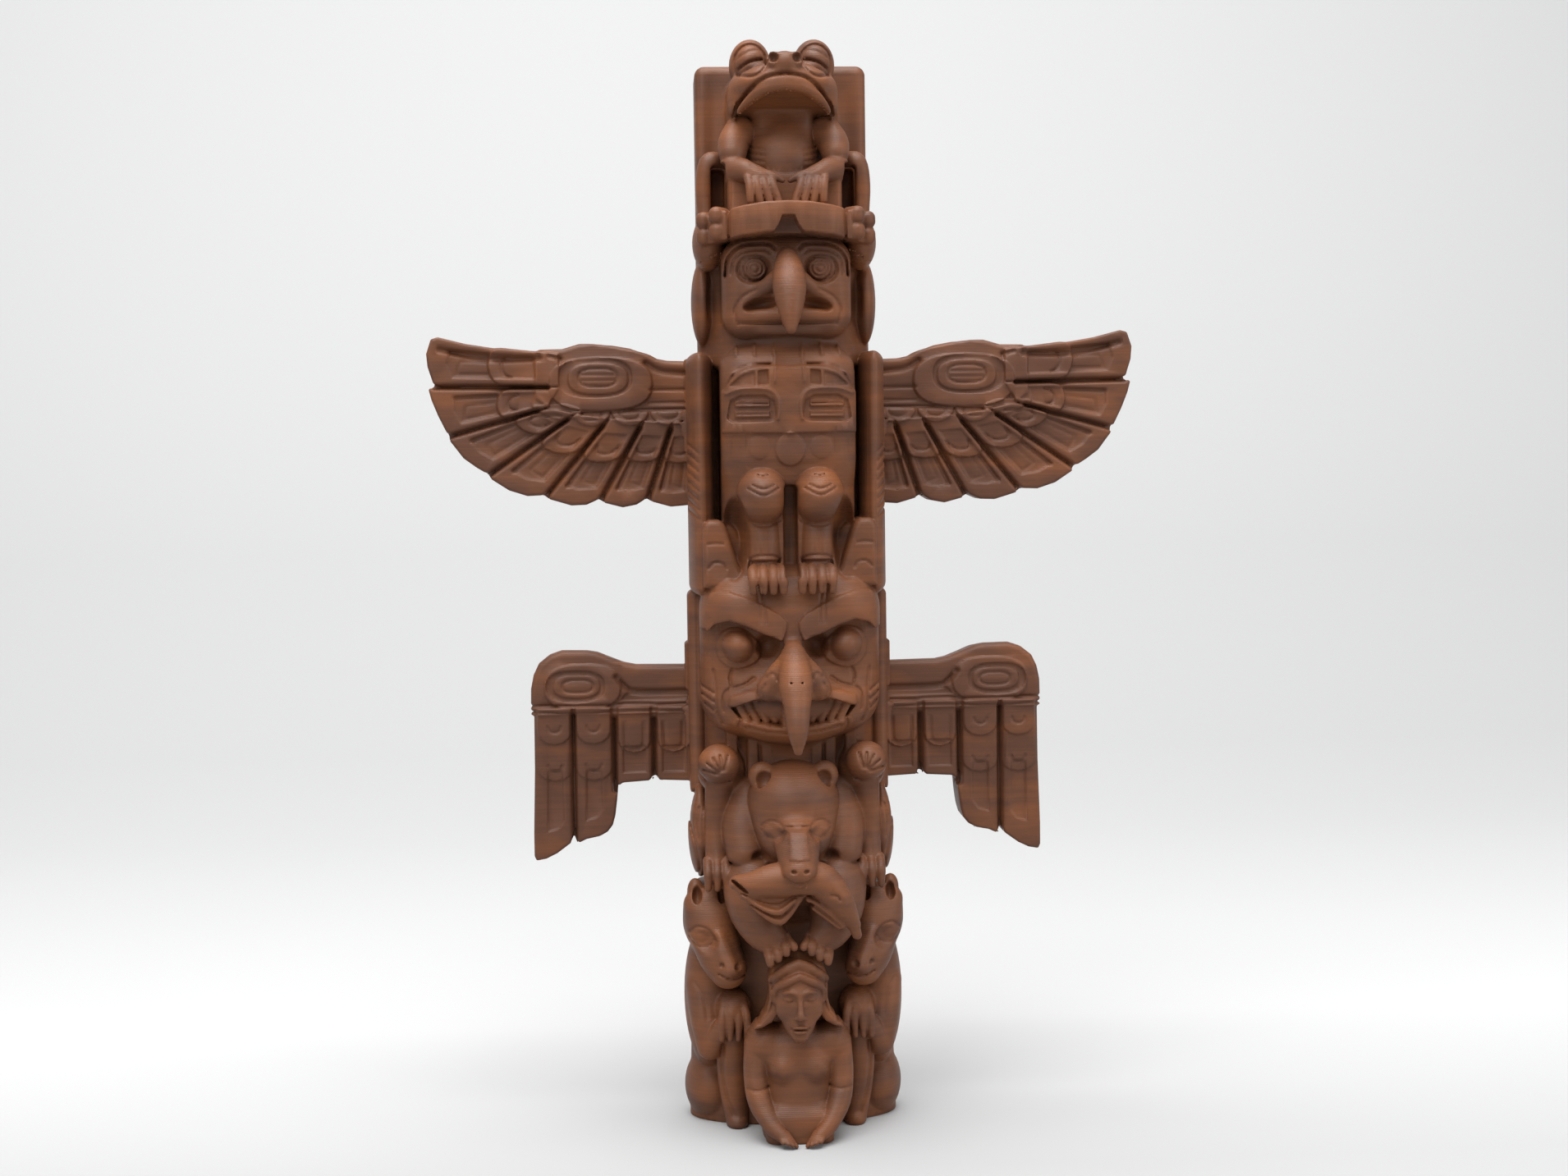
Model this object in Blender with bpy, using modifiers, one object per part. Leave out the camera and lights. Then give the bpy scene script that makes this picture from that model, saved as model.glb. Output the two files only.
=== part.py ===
"""Totem pole, printed in one piece: stacked figures before a round-backed pole, with two pairs of wings.

Each figure is drawn on a grid of squares, the way a carver squares up a log: across, out of the pole
towards the front (-Y), and up from the figure's foot. A square is the figure's height over its count of
squares.
"""
import math

import bmesh
import bpy
from mathutils import Euler, Matrix, Vector

# Driving sizes in metres
WOMAN_HEIGHT = 0.0348
WOLF_HEIGHT = 0.0462
BEAR_HEIGHT = 0.0362
LOWER_BIRD_HEIGHT = 0.0682
UPPER_BIRD_HEIGHT = 0.0652
FROG_HEIGHT = 0.0402
LOWER_WING_REACH = 0.0485
UPPER_WING_REACH = 0.0665
WING_THICKNESS = 0.0078
WING_SET_BACK = 0.007
COVERT_RISE = 0.0006
POLE_HALF_WIDTH = 0.0160
POLE_HALF_DEPTH = 0.0095
POLE_CENTRE_BACK = 0.0055
BASE_HALF_WIDTH = 0.0198
SLAB_HALF_WIDTH = 0.0157
SLAB_HALF_DEPTH = 0.0062
SLAB_HEIGHT = 0.0386
SLAB_SINK = 0.002
SLAB_ROUNDING = 0.0018
BASE_TAPER = 0.93

# How far each figure sinks into the one below
BEAR_SINK = 0.0018
LOWER_BIRD_SINK = 0.0012
UPPER_BIRD_SINK = 0.0132
FROG_SINK = 0.0052

# Each figure's height, and the squares it is drawn on
FIGURES = {
    "woman": (WOMAN_HEIGHT, 34.8),
    "wolves": (WOLF_HEIGHT, 46.2),
    "bear": (BEAR_HEIGHT, 36.2),
    "lower_bird": (LOWER_BIRD_HEIGHT, 68.2),
    "upper_bird": (UPPER_BIRD_HEIGHT, 65.2),
    "frog": (FROG_HEIGHT, 40.2),
}

# Clay and facets
CLAY_CELL = 0.00045
FACET_SHARE = 0.0150
BALL_SUBDIVISIONS = 3
FLOOR_CUT_DEPTH = 0.01
NOTCH_DEPTH = 0.007
PRINT_BROWN = (0.22, 0.09, 0.055, 1.0)


class Figure:
    """A figure's grid: its foot, and the size of a square."""

    def __init__(self, foot, height, squares):
        self.foot = foot
        self.square = height / squares

    def point(self, across, out, up):
        return Vector((across * self.square, -out * self.square, self.foot + up * self.square))

    def size(self, across, out, up):
        return Vector((across, out, up)) * self.square


def clear_scene():
    for old in list(bpy.data.objects):
        bpy.data.objects.remove(old, do_unlink=True)


def forms_pair():
    """Two heaps of forms: those on the middle line, and those of the right side, mirrored at the end."""
    return {"middle": bmesh.new(), "side": bmesh.new()}


def heap(forms, paired):
    return forms["side"] if paired else forms["middle"]


def ball(forms, figure, centre, radii, tilt=(0, 0, 0), paired=False):
    turn = Euler([math.radians(angle) for angle in tilt])
    place = Matrix.LocRotScale(figure.point(*centre), turn, figure.size(*radii))
    bmesh.ops.create_icosphere(heap(forms, paired), subdivisions=BALL_SUBDIVISIONS, radius=1.0, matrix=place)


def block(forms, figure, centre, halves, rounding=0.0, tilt=(0, 0, 0), paired=False):
    """A box, with its edges rounded by so many squares."""
    shape = bmesh.new()
    bmesh.ops.create_cube(shape, size=2.0, matrix=Matrix.Diagonal((*figure.size(*halves), 1.0)))
    if rounding > 0:
        bmesh.ops.bevel(shape, geom=shape.edges[:], offset=rounding * figure.square, segments=4,
                        profile=0.5, affect='EDGES')
    turn = Euler([math.radians(angle) for angle in tilt])
    shape.transform(Matrix.LocRotScale(figure.point(*centre), turn, None))
    pour(shape, heap(forms, paired))


def drum(forms, figure, centre, radii, half_height, paired=False):
    """An upright round or oval drum."""
    place = Matrix.LocRotScale(figure.point(*centre), None, figure.size(*radii, half_height))
    bmesh.ops.create_cone(heap(forms, paired), cap_ends=True, segments=48, radius1=1.0, radius2=1.0,
                          depth=2.0, matrix=place)


def limb(forms, figure, points, radii, paired=False):
    """A tapering limb along a smooth line, round at both ends."""
    curve = bpy.data.curves.new("limb", 'CURVE')
    curve.dimensions = '3D'
    curve.bevel_depth = 1.0
    curve.bevel_resolution = 3
    curve.resolution_u = 5
    curve.use_fill_caps = True
    spline = curve.splines.new('BEZIER')
    spline.bezier_points.add(len(points) - 1)
    for knot, place, radius in zip(spline.bezier_points, points, radii):
        knot.co = figure.point(*place)
        knot.radius = radius * figure.square
        knot.handle_left_type = 'AUTO'
        knot.handle_right_type = 'AUTO'
    pour_curve(curve, heap(forms, paired), Matrix.Identity(4))
    for place, radius in ((points[0], radii[0]), (points[-1], radii[-1])):
        ball(forms, figure, place, (radius, radius, radius), paired=paired)


def plate(forms, figure, outline, set_back, thickness, paired=True):
    """A flat board in the wing's plane: an outline in squares (across, up), its front set so far back."""
    curve = bpy.data.curves.new("plate", 'CURVE')
    curve.dimensions = '2D'
    curve.fill_mode = 'BOTH'
    curve.extrude = thickness / 2
    spline = curve.splines.new('POLY')
    spline.points.add(len(outline) - 1)
    for knot, (across, up) in zip(spline.points, outline):
        knot.co = (across * figure.square, up * figure.square, 0.0, 1.0)
    spline.use_cyclic_u = True
    middle = Matrix.Translation((0.0, set_back + thickness / 2, figure.foot))
    pour_curve(curve, heap(forms, paired), middle @ Matrix.Rotation(math.pi / 2, 4, 'X'))


def pour(shape, target):
    mesh = bpy.data.meshes.new("form")
    shape.to_mesh(mesh)
    shape.free()
    target.from_mesh(mesh)
    bpy.data.meshes.remove(mesh)


def pour_curve(curve, target, place):
    carrier = bpy.data.objects.new("curve form", curve)
    bpy.context.scene.collection.objects.link(carrier)
    view = bpy.context.evaluated_depsgraph_get()
    mesh = bpy.data.meshes.new_from_object(carrier.evaluated_get(view))
    shape = bmesh.new()
    shape.from_mesh(mesh)
    bmesh.ops.remove_doubles(shape, verts=shape.verts[:], dist=0.000001)
    shape.transform(place)
    pour(shape, target)
    bpy.data.objects.remove(carrier, do_unlink=True)
    bpy.data.curves.remove(curve)
    bpy.data.meshes.remove(mesh)


def fan(count, first, last):
    """Evenly spaced values from first to last."""
    return [first + (last - first) * step / (count - 1) for step in range(count)]


def oval(centre, radii, steps=28):
    turns = [2 * math.pi * step / steps for step in range(steps)]
    return [(centre[0] + radii[0] * math.cos(a), centre[1] + radii[1] * math.sin(a)) for a in turns]


def feather(root, tip, root_half, tip_half, bulge, steps=8):
    """A feather's outline: straight sides from its root, and a round end that bulges past the tip."""
    line = Vector(tip) - Vector(root)
    along = line.normalized()
    across = Vector((-along.y, along.x))
    points = [Vector(root) + across * root_half, Vector(root) - across * root_half]
    for angle in fan(steps, -math.pi / 2, math.pi / 2):
        reach = bulge * math.cos(angle)
        points.append(Vector(tip) + along * reach + across * tip_half * math.sin(angle))
    return [tuple(point) for point in points]


def pole(forms, feet):
    """The round-backed pole behind the figures, wider at the wolves, with the flat slab behind the frog."""
    for half_width, taper, top in (
            (POLE_HALF_WIDTH, 1.0, feet["frog"]),
            (BASE_HALF_WIDTH, BASE_TAPER, feet["lower_bird"] - LOWER_BIRD_SINK)):
        length = top + FLOOR_CUT_DEPTH / 2
        scale = (half_width, POLE_HALF_DEPTH, 1.0)
        place = Matrix.LocRotScale((0.0, POLE_CENTRE_BACK, top - length / 2), None, scale)
        bmesh.ops.create_cone(forms["middle"], cap_ends=True, segments=64, radius1=1.0, radius2=taper,
                              depth=length, matrix=place)
    slab = bmesh.new()
    halves = (SLAB_HALF_WIDTH, SLAB_HALF_DEPTH, SLAB_HEIGHT / 2)
    bmesh.ops.create_cube(slab, size=2.0, matrix=Matrix.Diagonal((*halves, 1.0)))
    bmesh.ops.bevel(slab, geom=slab.edges[:], offset=SLAB_ROUNDING, segments=4, profile=0.5, affect='EDGES')
    slab_back = POLE_CENTRE_BACK + POLE_HALF_DEPTH
    slab_foot = feet["frog"] - SLAB_SINK
    slab.transform(Matrix.Translation((0.0, slab_back - SLAB_HALF_DEPTH, slab_foot + SLAB_HEIGHT / 2)))
    pour(slab, forms["middle"])


def woman(forms, grid):
    """She sits lowest and foremost, arms down to the floor, with parted hair under the bear's feet."""
    block(forms, grid, (0, 7.4, 7.6), (6.9, 8.4, 13.2), rounding=5.5)
    ball(forms, grid, (2.9, 12.2, 14.2), (3.3, 3.9, 3.2), paired=True)
    ball(forms, grid, (6.0, 9.8, 16.6), (3.5, 4.4, 4.0), paired=True)
    limb(forms, grid, [(6.9, 10.8, 17), (7.4, 11.6, 11), (7.2, 13.4, 6.4), (5.4, 16, 3), (2.2, 17.4, 1.0)],
         [2.6, 2.3, 2.2, 1.8, 1.0], paired=True)
    limb(forms, grid, [(0, 10, 19), (0, 13.2, 23)], [3.2, 2.9])
    ball(forms, grid, (0, 14.2, 28.2), (4.7, 5.0, 6.0), tilt=(8, 0, 0))
    ball(forms, grid, (0, 16.4, 24.2), (2.9, 2.8, 3.2), tilt=(8, 0, 0))
    limb(forms, grid, [(0, 18.8, 27.6), (0, 19.7, 25.6)], [0.6, 0.9])
    limb(forms, grid, [(0, 18.0, 33.4), (3.2, 17.0, 31.6), (5.0, 14.8, 29)], [1.2, 1.4, 1.3], paired=True)
    limb(forms, grid, [(4.8, 14.4, 29), (5.0, 13.2, 25), (5.8, 11.4, 22.6), (7.6, 10.4, 20.6)],
         [1.6, 1.7, 1.4, 0.7], paired=True)
    ball(forms, grid, (0, 12.4, 29.6), (5.2, 5.2, 5.0))
    ball(forms, grid, (0, 15.5, 33.2), (2.6, 3.4, 1.8))


def wolves(forms, grid):
    """A wolf crouches on each side, head turned in and down, hands on its knees."""
    ball(forms, grid, (15.2, 1.8, 39.2), (5.3, 6.4, 6.6), paired=True)
    limb(forms, grid, [(15.0, 4.2, 37), (13.8, 6.6, 33), (12.4, 8.0, 30.6)], [4.8, 4.3, 3.7], paired=True)
    ball(forms, grid, (18.0, 3.4, 44.2), (1.5, 1.8, 2.6), paired=True)
    ball(forms, grid, (13.3, 3.6, 44.6), (1.3, 1.6, 2.0), paired=True)
    ball(forms, grid, (17.0, 6.0, 36.8), (1.8, 1.6, 1.3), tilt=(0, 25, 0), paired=True)
    ball(forms, grid, (15.9, -1.5, 24), (4.6, 7.2, 14), paired=True)
    limb(forms, grid, [(16.6, 1.8, 25), (16.2, 3.8, 20), (15.4, 4.2, 15.6)], [3.4, 3.1, 3.0], paired=True)
    ball(forms, grid, (11.6, 4.8, 23.0), (3.5, 3.7, 3.4), paired=True)
    for across in fan(4, 9.5, 13.4):
        limb(forms, grid, [(across, 7.4, 23.2), (across, 8.4, 20.6), (across, 8.0, 18.2)], [0.8, 0.75, 0.6],
             paired=True)
    limb(forms, grid, [(11.6, 3.9, 18), (11.6, 3.3, 9), (11.0, 3.0, 0)], [3.2, 3.0, 2.4], paired=True)
    ball(forms, grid, (15.6, -5.4, 5.6), (5.1, 7.0, 7.2), paired=True)


def bear(forms, grid):
    """The bear sits on the woman's head, chin down over the fish."""
    ball(forms, grid, (0, 4, 19), (10, 8, 14))
    ball(forms, grid, (0, 7.0, 27.6), (8.6, 8.8, 7.8))
    ball(forms, grid, (0, 9.6, 24.2), (7.0, 6.8, 5.6))
    limb(forms, grid, [(0, 13.6, 24.6), (0, 17.6, 22.8), (0, 21.2, 19.8)], [4.2, 4.2, 3.5])
    ball(forms, grid, (5.7, 8.2, 33.4), (2.6, 1.5, 2.7), tilt=(0, 25, 0), paired=True)
    ball(forms, grid, (3.9, 14.9, 26.2), (1.6, 1.2, 1.0), paired=True)
    limb(forms, grid, [(7.8, 3, 28), (9.0, 5.2, 24), (8.8, 7.2, 21)], [4.4, 4.4, 4.0], paired=True)
    ball(forms, grid, (7.2, 7.2, 14.2), (6.0, 7.4, 6.6), paired=True)
    limb(forms, grid, [(7.4, 9, 13.5), (7.4, 11, 9.6), (5.8, 13, 5.6), (3.4, 14.4, 3.8)],
         [5.6, 5.0, 3.9, 2.6], paired=True)
    for across, up in zip(fan(4, 0.9, 5.6), fan(4, 2.8, 0.9)):
        limb(forms, grid, [(across, 15.0, up + 2.2), (across, 17.2, up + 1), (across, 17.6, up - 0.6)],
             [0.9, 0.9, 0.7], paired=True)


def fish(forms, grid):
    """The fish lies across the bear's jaws, tail down to the right, with folded fins under it."""
    back = [(-10.7, 18.0, 14.4), (-8, 19.4, 14.8), (-4.5, 20.4, 15), (0, 20.8, 14.6), (4.6, 20.4, 13.6),
            (8.4, 19.4, 10), (11.2, 17.8, 5.6)]
    fold = [(-9.4, 18, 12.6), (-6.4, 18.8, 10.4), (-3.6, 19.2, 9.4), (-0.6, 19.4, 12)]
    limb(forms, grid, back, [1.6, 2.4, 3.2, 3.3, 3.1, 2.6, 1.5])
    limb(forms, grid, fold, [1.3, 1.8, 1.7, 1.4])
    limb(forms, grid, [(2.4, 19.6, 12), (5.4, 18.8, 9.4), (7.8, 18, 7)], [1.6, 1.5, 0.9])
    limb(forms, grid, [(-11.2, 17.8, 15.8), (-11.4, 17.6, 13.2)], [0.9, 0.8])


def lower_bird(forms, grid):
    """The broad bird's head with tall ears, heavy brows and a long beak, and its legs down to the wolves."""
    block(forms, grid, (0, -1.2, 44.2), (16.9, 11.4, 15.4), rounding=8.5)
    ball(forms, grid, (0, 0.3, 48.6), (15.6, 11.2, 11.6))
    brow = [(14.2, 5.4, 50.6), (11.6, 8.6, 52), (8.2, 10.0, 51.6), (4.6, 10.8, 50), (1.6, 11.2, 47.6)]
    limb(forms, grid, brow, [3.0, 3.6, 3.6, 3.4, 2.6], paired=True)
    ball(forms, grid, (9.4, 8.4, 44.9), (4.0, 3.6, 3.9), paired=True)
    ball(forms, grid, (13.0, 6.0, 37.4), (3.8, 5.2, 6.0), paired=True)
    ball(forms, grid, (0, 6.4, 36), (12.8, 6.6, 7.4))
    limb(forms, grid, [(3.2, 13.2, 37.2), (8, 11.8, 36.6), (11.8, 9.4, 35)], [1.5, 1.4, 1.3], paired=True)
    limb(forms, grid, [(0, 12.4, 30.6), (6, 11.4, 31.2), (11.0, 8.8, 33)], [2.0, 1.9, 1.7], paired=True)
    beak = [(0, 12.4, 46.6), (0, 15.2, 43.4), (0, 18.8, 39.4), (0, 21.2, 35), (0, 22.2, 31), (0, 22.0, 28.4)]
    limb(forms, grid, beak, [1.2, 2.2, 2.9, 2.7, 2.1, 0.9])
    limb(forms, grid, [(0, 12, 44.4), (0, 14.4, 38.4), (0, 16.5, 32)], [2.6, 3.4, 2.0])
    limb(forms, grid, [(1.6, 13.2, 42.6), (3.4, 14.4, 39.4)], [2.0, 2.8], paired=True)
    block(forms, grid, (12.7, 4.4, 60), (2.9, 3.6, 8.2), rounding=2, tilt=(0, 6, 0), paired=True)
    block(forms, grid, (17.0, -4.0, 38.0), (1.7, 4.2, 18), rounding=1.5, paired=True)
    block(forms, grid, (7.3, 2.6, 25), (3.0, 3.0, 8), rounding=0.6, paired=True)
    ball(forms, grid, (13.8, 7.0, 23.6), (3.7, 3.8, 3.4), paired=True)
    ball(forms, grid, (13.4, 2.4, 21.8), (3.9, 5.5, 4.2), paired=True)
    limb(forms, grid, [(13.6, 5, 21), (14.0, 4.2, 12), (14.2, 5.2, 4.6)], [2.6, 2.4, 2.2], paired=True)
    for across in fan(3, 12.4, 16.0):
        limb(forms, grid, [(across, 6.2, 5), (across, 8.2, 3.4), (across, 8.4, 1.2)], [0.8, 0.8, 0.6],
             paired=True)
    ball(forms, grid, (17.0, -3.0, 9.8), (2.1, 4.4, 8.4), paired=True)


def lower_wings(forms, grid):
    """Square-shouldered wings that hang straight down, with two long and two short columns of feathers."""
    reach = LOWER_WING_REACH / grid.square
    root = 12.0
    corner = [(reach - 6 + 5.2 * math.sin(a), 36.8 + 6.4 * math.cos(a)) for a in fan(7, 0, math.pi / 2)]
    board = [(root, 40), (28.4, 40.2), (33.4, 41.7), (37.6, 43.1)] + corner + [(reach - 0.7, 28), (root, 28)]
    plate(forms, grid, board, WING_SET_BACK, WING_THICKNESS)
    columns = [(reach - 7.3, reach - 0.4, 2.9, 3.4), (32.8, 40.7, 6.8, 1.6), (25.3, 32.3, 18.4, 0.6),
               (16, 24.8, 18.6, 0.6)]
    for inner, outer, end, slant in columns:
        middle = (inner + outer) / 2
        half = (outer - inner) / 2
        strip = [(inner, 34)]
        for turn in fan(7, -math.pi / 2, math.pi / 2):
            drop = slant * (1 - math.sin(turn)) / 2
            strip.append((middle + half * math.sin(turn), end + drop + 0.9 * (1 - math.cos(turn))))
        strip.append((outer, 34))
        plate(forms, grid, strip, WING_SET_BACK, WING_THICKNESS)
        covert_end = 20.5 if end < 12 else 24.2
        covert = [(inner + 0.4, 33)]
        for turn in fan(7, -math.pi / 2, math.pi / 2):
            covert.append((middle + (half - 0.4) * math.sin(turn), covert_end + 2.6 * (1 - math.cos(turn))))
        covert.append((outer - 0.4, 33))
        plate(forms, grid, covert, WING_SET_BACK - COVERT_RISE, WING_THICKNESS)
    arm = [(root, 30.6), (root, 40), (28.4, 40.2), (33, 37), (reach - 1, 37), (reach - 1, 32.4),
           (31.5, 32.4)]
    plate(forms, grid, arm, WING_SET_BACK - COVERT_RISE, WING_THICKNESS)
    plate(forms, grid, oval((39.9, 37), (5.6, 3.1)), WING_SET_BACK - 2 * COVERT_RISE, WING_THICKNESS)


def upper_bird(forms, grid):
    """The upper bird stands on the lower one's head, between the two boards that its wings grow from."""
    block(forms, grid, (0, -1.2, 20), (13.3, 10.4, 23), rounding=7)
    ball(forms, grid, (0, 0.4, 35), (13.2, 11.2, 10))
    ball(forms, grid, (7.2, 7.4, 36), (4.6, 3.6, 3.4), paired=True)
    ball(forms, grid, (0, 8.6, 26.4), (2.6, 1.4, 3.2))
    limb(forms, grid, [(5.4, 5, 17.4), (4.9, 10.2, 17.9)], [5.2, 5.2], paired=True)
    limb(forms, grid, [(4.8, 8.8, 14), (4.7, 9.6, 9), (4.6, 10.2, 5.4)], [3.6, 3.1, 2.6], paired=True)
    for across in fan(4, 1.9, 7.1):
        limb(forms, grid, [(across, 11.2, 6), (across, 13.8, 5.2), (across, 14.4, 2.7)], [0.85, 0.85, 0.6],
             paired=True)
    block(forms, grid, (16.1, 0, 21.8), (2.1, 6.2, 22), rounding=2.0, paired=True)
    drum(forms, grid, (0, -1.4, 45), (13.4, 9.6), 4)
    block(forms, grid, (0, 2.4, 55.6), (12.0, 8.2, 9.6), rounding=4.2)
    ball(forms, grid, (0, 1.6, 61.5), (11.2, 8.6, 5))
    ball(forms, grid, (15.0, -2.6, 53), (2.1, 5.0, 7.8), paired=True)
    limb(forms, grid, [(2.2, 9.6, 61.2), (6.2, 9.4, 62.2), (10.2, 7.4, 60)], [1.2, 1.3, 1.2], paired=True)
    ball(forms, grid, (5.9, 9.8, 58.8), (2.8, 2.0, 2.7), paired=True)
    limb(forms, grid, [(0, 10.2, 60.6), (0, 13.4, 57.6), (0, 15.8, 54.2), (0, 17.4, 50.6), (0, 17.8, 47.4)],
         [1.0, 2.1, 2.5, 1.8, 0.8])
    limb(forms, grid, [(0, 11, 57.4), (0, 12.6, 53), (0, 13.6, 49)], [1.8, 2.4, 1.4])
    limb(forms, grid, [(1.6, 12.4, 55), (5.6, 10.6, 52.8), (9.3, 8.8, 51)], [2.0, 1.4, 0.9], paired=True)
    limb(forms, grid, [(0, 10.4, 49.4), (4.6, 9.8, 49.4), (8.8, 8.8, 49.6)], [1.5, 1.5, 1.2], paired=True)


def upper_wings(forms, grid):
    """Wide wings with seven fanned feathers under a rounded shoulder."""
    reach = UPPER_WING_REACH / grid.square
    feathers = [
        ((42, 41.3), (reach - 2.2, 43.0), 3.4, 4.3, 2.2),
        ((43, 36.6), (reach - 3.2, 34), 2.4, 4.7, 2.0),
        ((41, 33.6), (58.6, 25.8), 2.4, 4.7, 1.6),
        ((36.5, 32), (50, 19.6), 2.8, 5.4, 1.2),
        ((30.4, 31), (39.6, 16.9), 3.2, 5.1, 1.2),
        ((24.4, 31), (30.1, 16.6), 3.0, 4.3, 1.2),
        ((18.6, 31), (21.2, 16.6), 3.4, 4.1, 1.2),
    ]
    for root, tip, root_half, tip_half, bulge in feathers:
        plate(forms, grid, feather(root, tip, root_half, tip_half, bulge), WING_SET_BACK, WING_THICKNESS)
        covert = (Vector(root) * 0.5 + Vector(tip) * 0.5)
        plate(forms, grid, feather(root, covert, root_half * 0.9, (root_half + tip_half) * 0.42, 1.6),
              WING_SET_BACK - COVERT_RISE, WING_THICKNESS)
    top = [(12, 42.2), (21.7, 42.4), (25.8, 44), (28.5, 45.2), (32, 45.9), (35.3, 46), (38, 45.7),
           (41.3, 44.5)]
    under = [(47.4, 44.4), (48.5, 38), (46, 34), (40, 32), (33, 30.6), (12, 30.2)]
    plate(forms, grid, top + under, WING_SET_BACK - COVERT_RISE / 2, WING_THICKNESS)
    plate(forms, grid, oval((34.2, 38.7), (9.5, 5.0)), WING_SET_BACK - 2 * COVERT_RISE, WING_THICKNESS)


def frog(forms, grid):
    """The headband over the upper bird's brow, and the frog that sits on it in front of the slab."""
    drum(forms, grid, (0, 2.4, 7.1), (15.9, 14.0), 2.8)
    ball(forms, grid, (14.0, 2.4, 4.4), (2.9, 5.6, 4.6), paired=True)
    for across, out in ((12.4, 9.4), (15.0, 6.6)):
        for up in (5.3, 8.2):
            ball(forms, grid, (across, out, up), (1.7, 1.7, 1.5), paired=True)
    block(forms, grid, (0, 1.2, 11.6), (10.4, 7.2, 4), rounding=1.5)
    ball(forms, grid, (0, -0.4, 18.8), (6.8, 8.2, 9.6))
    block(forms, grid, (0, -1, 22.4), (6.4, 7, 4.4), rounding=3)
    ball(forms, grid, (0, -3, 22), (10, 6, 7))
    limb(forms, grid, [(8.2, 2.2, 23), (9.6, 4.4, 20.4), (9.5, 6.6, 17.6)], [3.1, 3.0, 2.6], paired=True)
    limb(forms, grid, [(9.5, 6.8, 17.4), (7.0, 9.0, 16), (4.4, 10.2, 14.6)], [2.5, 2.1, 1.9], paired=True)
    for across in fan(3, 2.2, 6.2):
        limb(forms, grid, [(across, 10.8, 14.6), (across, 11.8, 12.4), (across, 12.0, 10.4)],
             [0.8, 0.75, 0.65], paired=True)
    limb(forms, grid, [(3.8, 10.2, 15.2), (1.0, 10.2, 14)], [1.0, 0.7], paired=True)
    limb(forms, grid, [(13.6, 1.0, 18.4), (14.2, 1.4, 14), (14.4, 2.0, 9)], [2.1, 2.0, 1.9], paired=True)
    block(forms, grid, (0, -0.6, 29.4), (10.1, 8.4, 5.4), rounding=4.6)
    ball(forms, grid, (0, 6.4, 33.0), (5.0, 6.8, 4.0))
    limb(forms, grid, [(9.0, 3.4, 28), (6.4, 9.2, 30.2), (0, 12.4, 32.2)], [1.4, 1.5, 1.6], paired=True)
    ball(forms, grid, (0, 4.6, 28.4), (8.2, 8.4, 3.2))
    ball(forms, grid, (6.1, 2.6, 36.0), (3.6, 4.8, 4.3), paired=True)


def cutters(grids):
    """The hollows: the bear's ears, the headband's notch, the upper bird's mouth and the floor."""
    hollows = forms_pair()
    ball(hollows, grids["bear"], (5.5, 9.9, 33.1), (1.6, 1.2, 1.7), tilt=(0, 25, 0), paired=True)
    ball(hollows, grids["upper_bird"], (5.4, 11.6, 51.2), (2.6, 1.9, 0.8), tilt=(0, 24, 0), paired=True)
    ball(hollows, grids["lower_bird"], (7.4, 12.2, 34.2), (4.0, 2.2, 1.0), tilt=(0, 10, 0), paired=True)
    notch = [(-2.9, 3.8), (2.9, 3.8), (2.5, 4.6), (0.9, 7.4), (-0.9, 7.4), (-2.5, 4.6)]
    band_front = 16.4 * grids["frog"].square
    plate(hollows, grids["frog"], notch, -band_front - NOTCH_DEPTH / 2, NOTCH_DEPTH, paired=False)
    ball(hollows, grids["bear"], (0, 17, 7.4), (2.6, 4.2, 3.6))
    floor = bmesh.new()
    bmesh.ops.create_cube(floor, size=1.0, matrix=Matrix.LocRotScale(
        (0.0, 0.0, -FLOOR_CUT_DEPTH / 2), None, (4 * BASE_HALF_WIDTH, 4 * BASE_HALF_WIDTH, FLOOR_CUT_DEPTH)))
    pour(floor, hollows["middle"])
    return hollows


def heap_object(name, forms, collection):
    """One object from both heaps, with the side forms again as their mirror image."""
    mesh = bpy.data.meshes.new(name)
    side = bpy.data.meshes.new("side")
    forms["side"].to_mesh(side)
    forms["middle"].from_mesh(side)
    side.transform(Matrix.Scale(-1.0, 4, (1.0, 0.0, 0.0)))
    side.flip_normals()
    forms["middle"].from_mesh(side)
    forms["middle"].to_mesh(mesh)
    forms["middle"].free()
    forms["side"].free()
    bpy.data.meshes.remove(side)
    made = bpy.data.objects.new(name, mesh)
    collection.objects.link(made)
    return made


def print_plastic():
    material = bpy.data.materials.new("matte brown print")
    material.use_nodes = True
    shader = material.node_tree.nodes["Principled BSDF"]
    shader.inputs["Base Color"].default_value = PRINT_BROWN
    shader.inputs["Roughness"].default_value = 0.55
    return material


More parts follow.
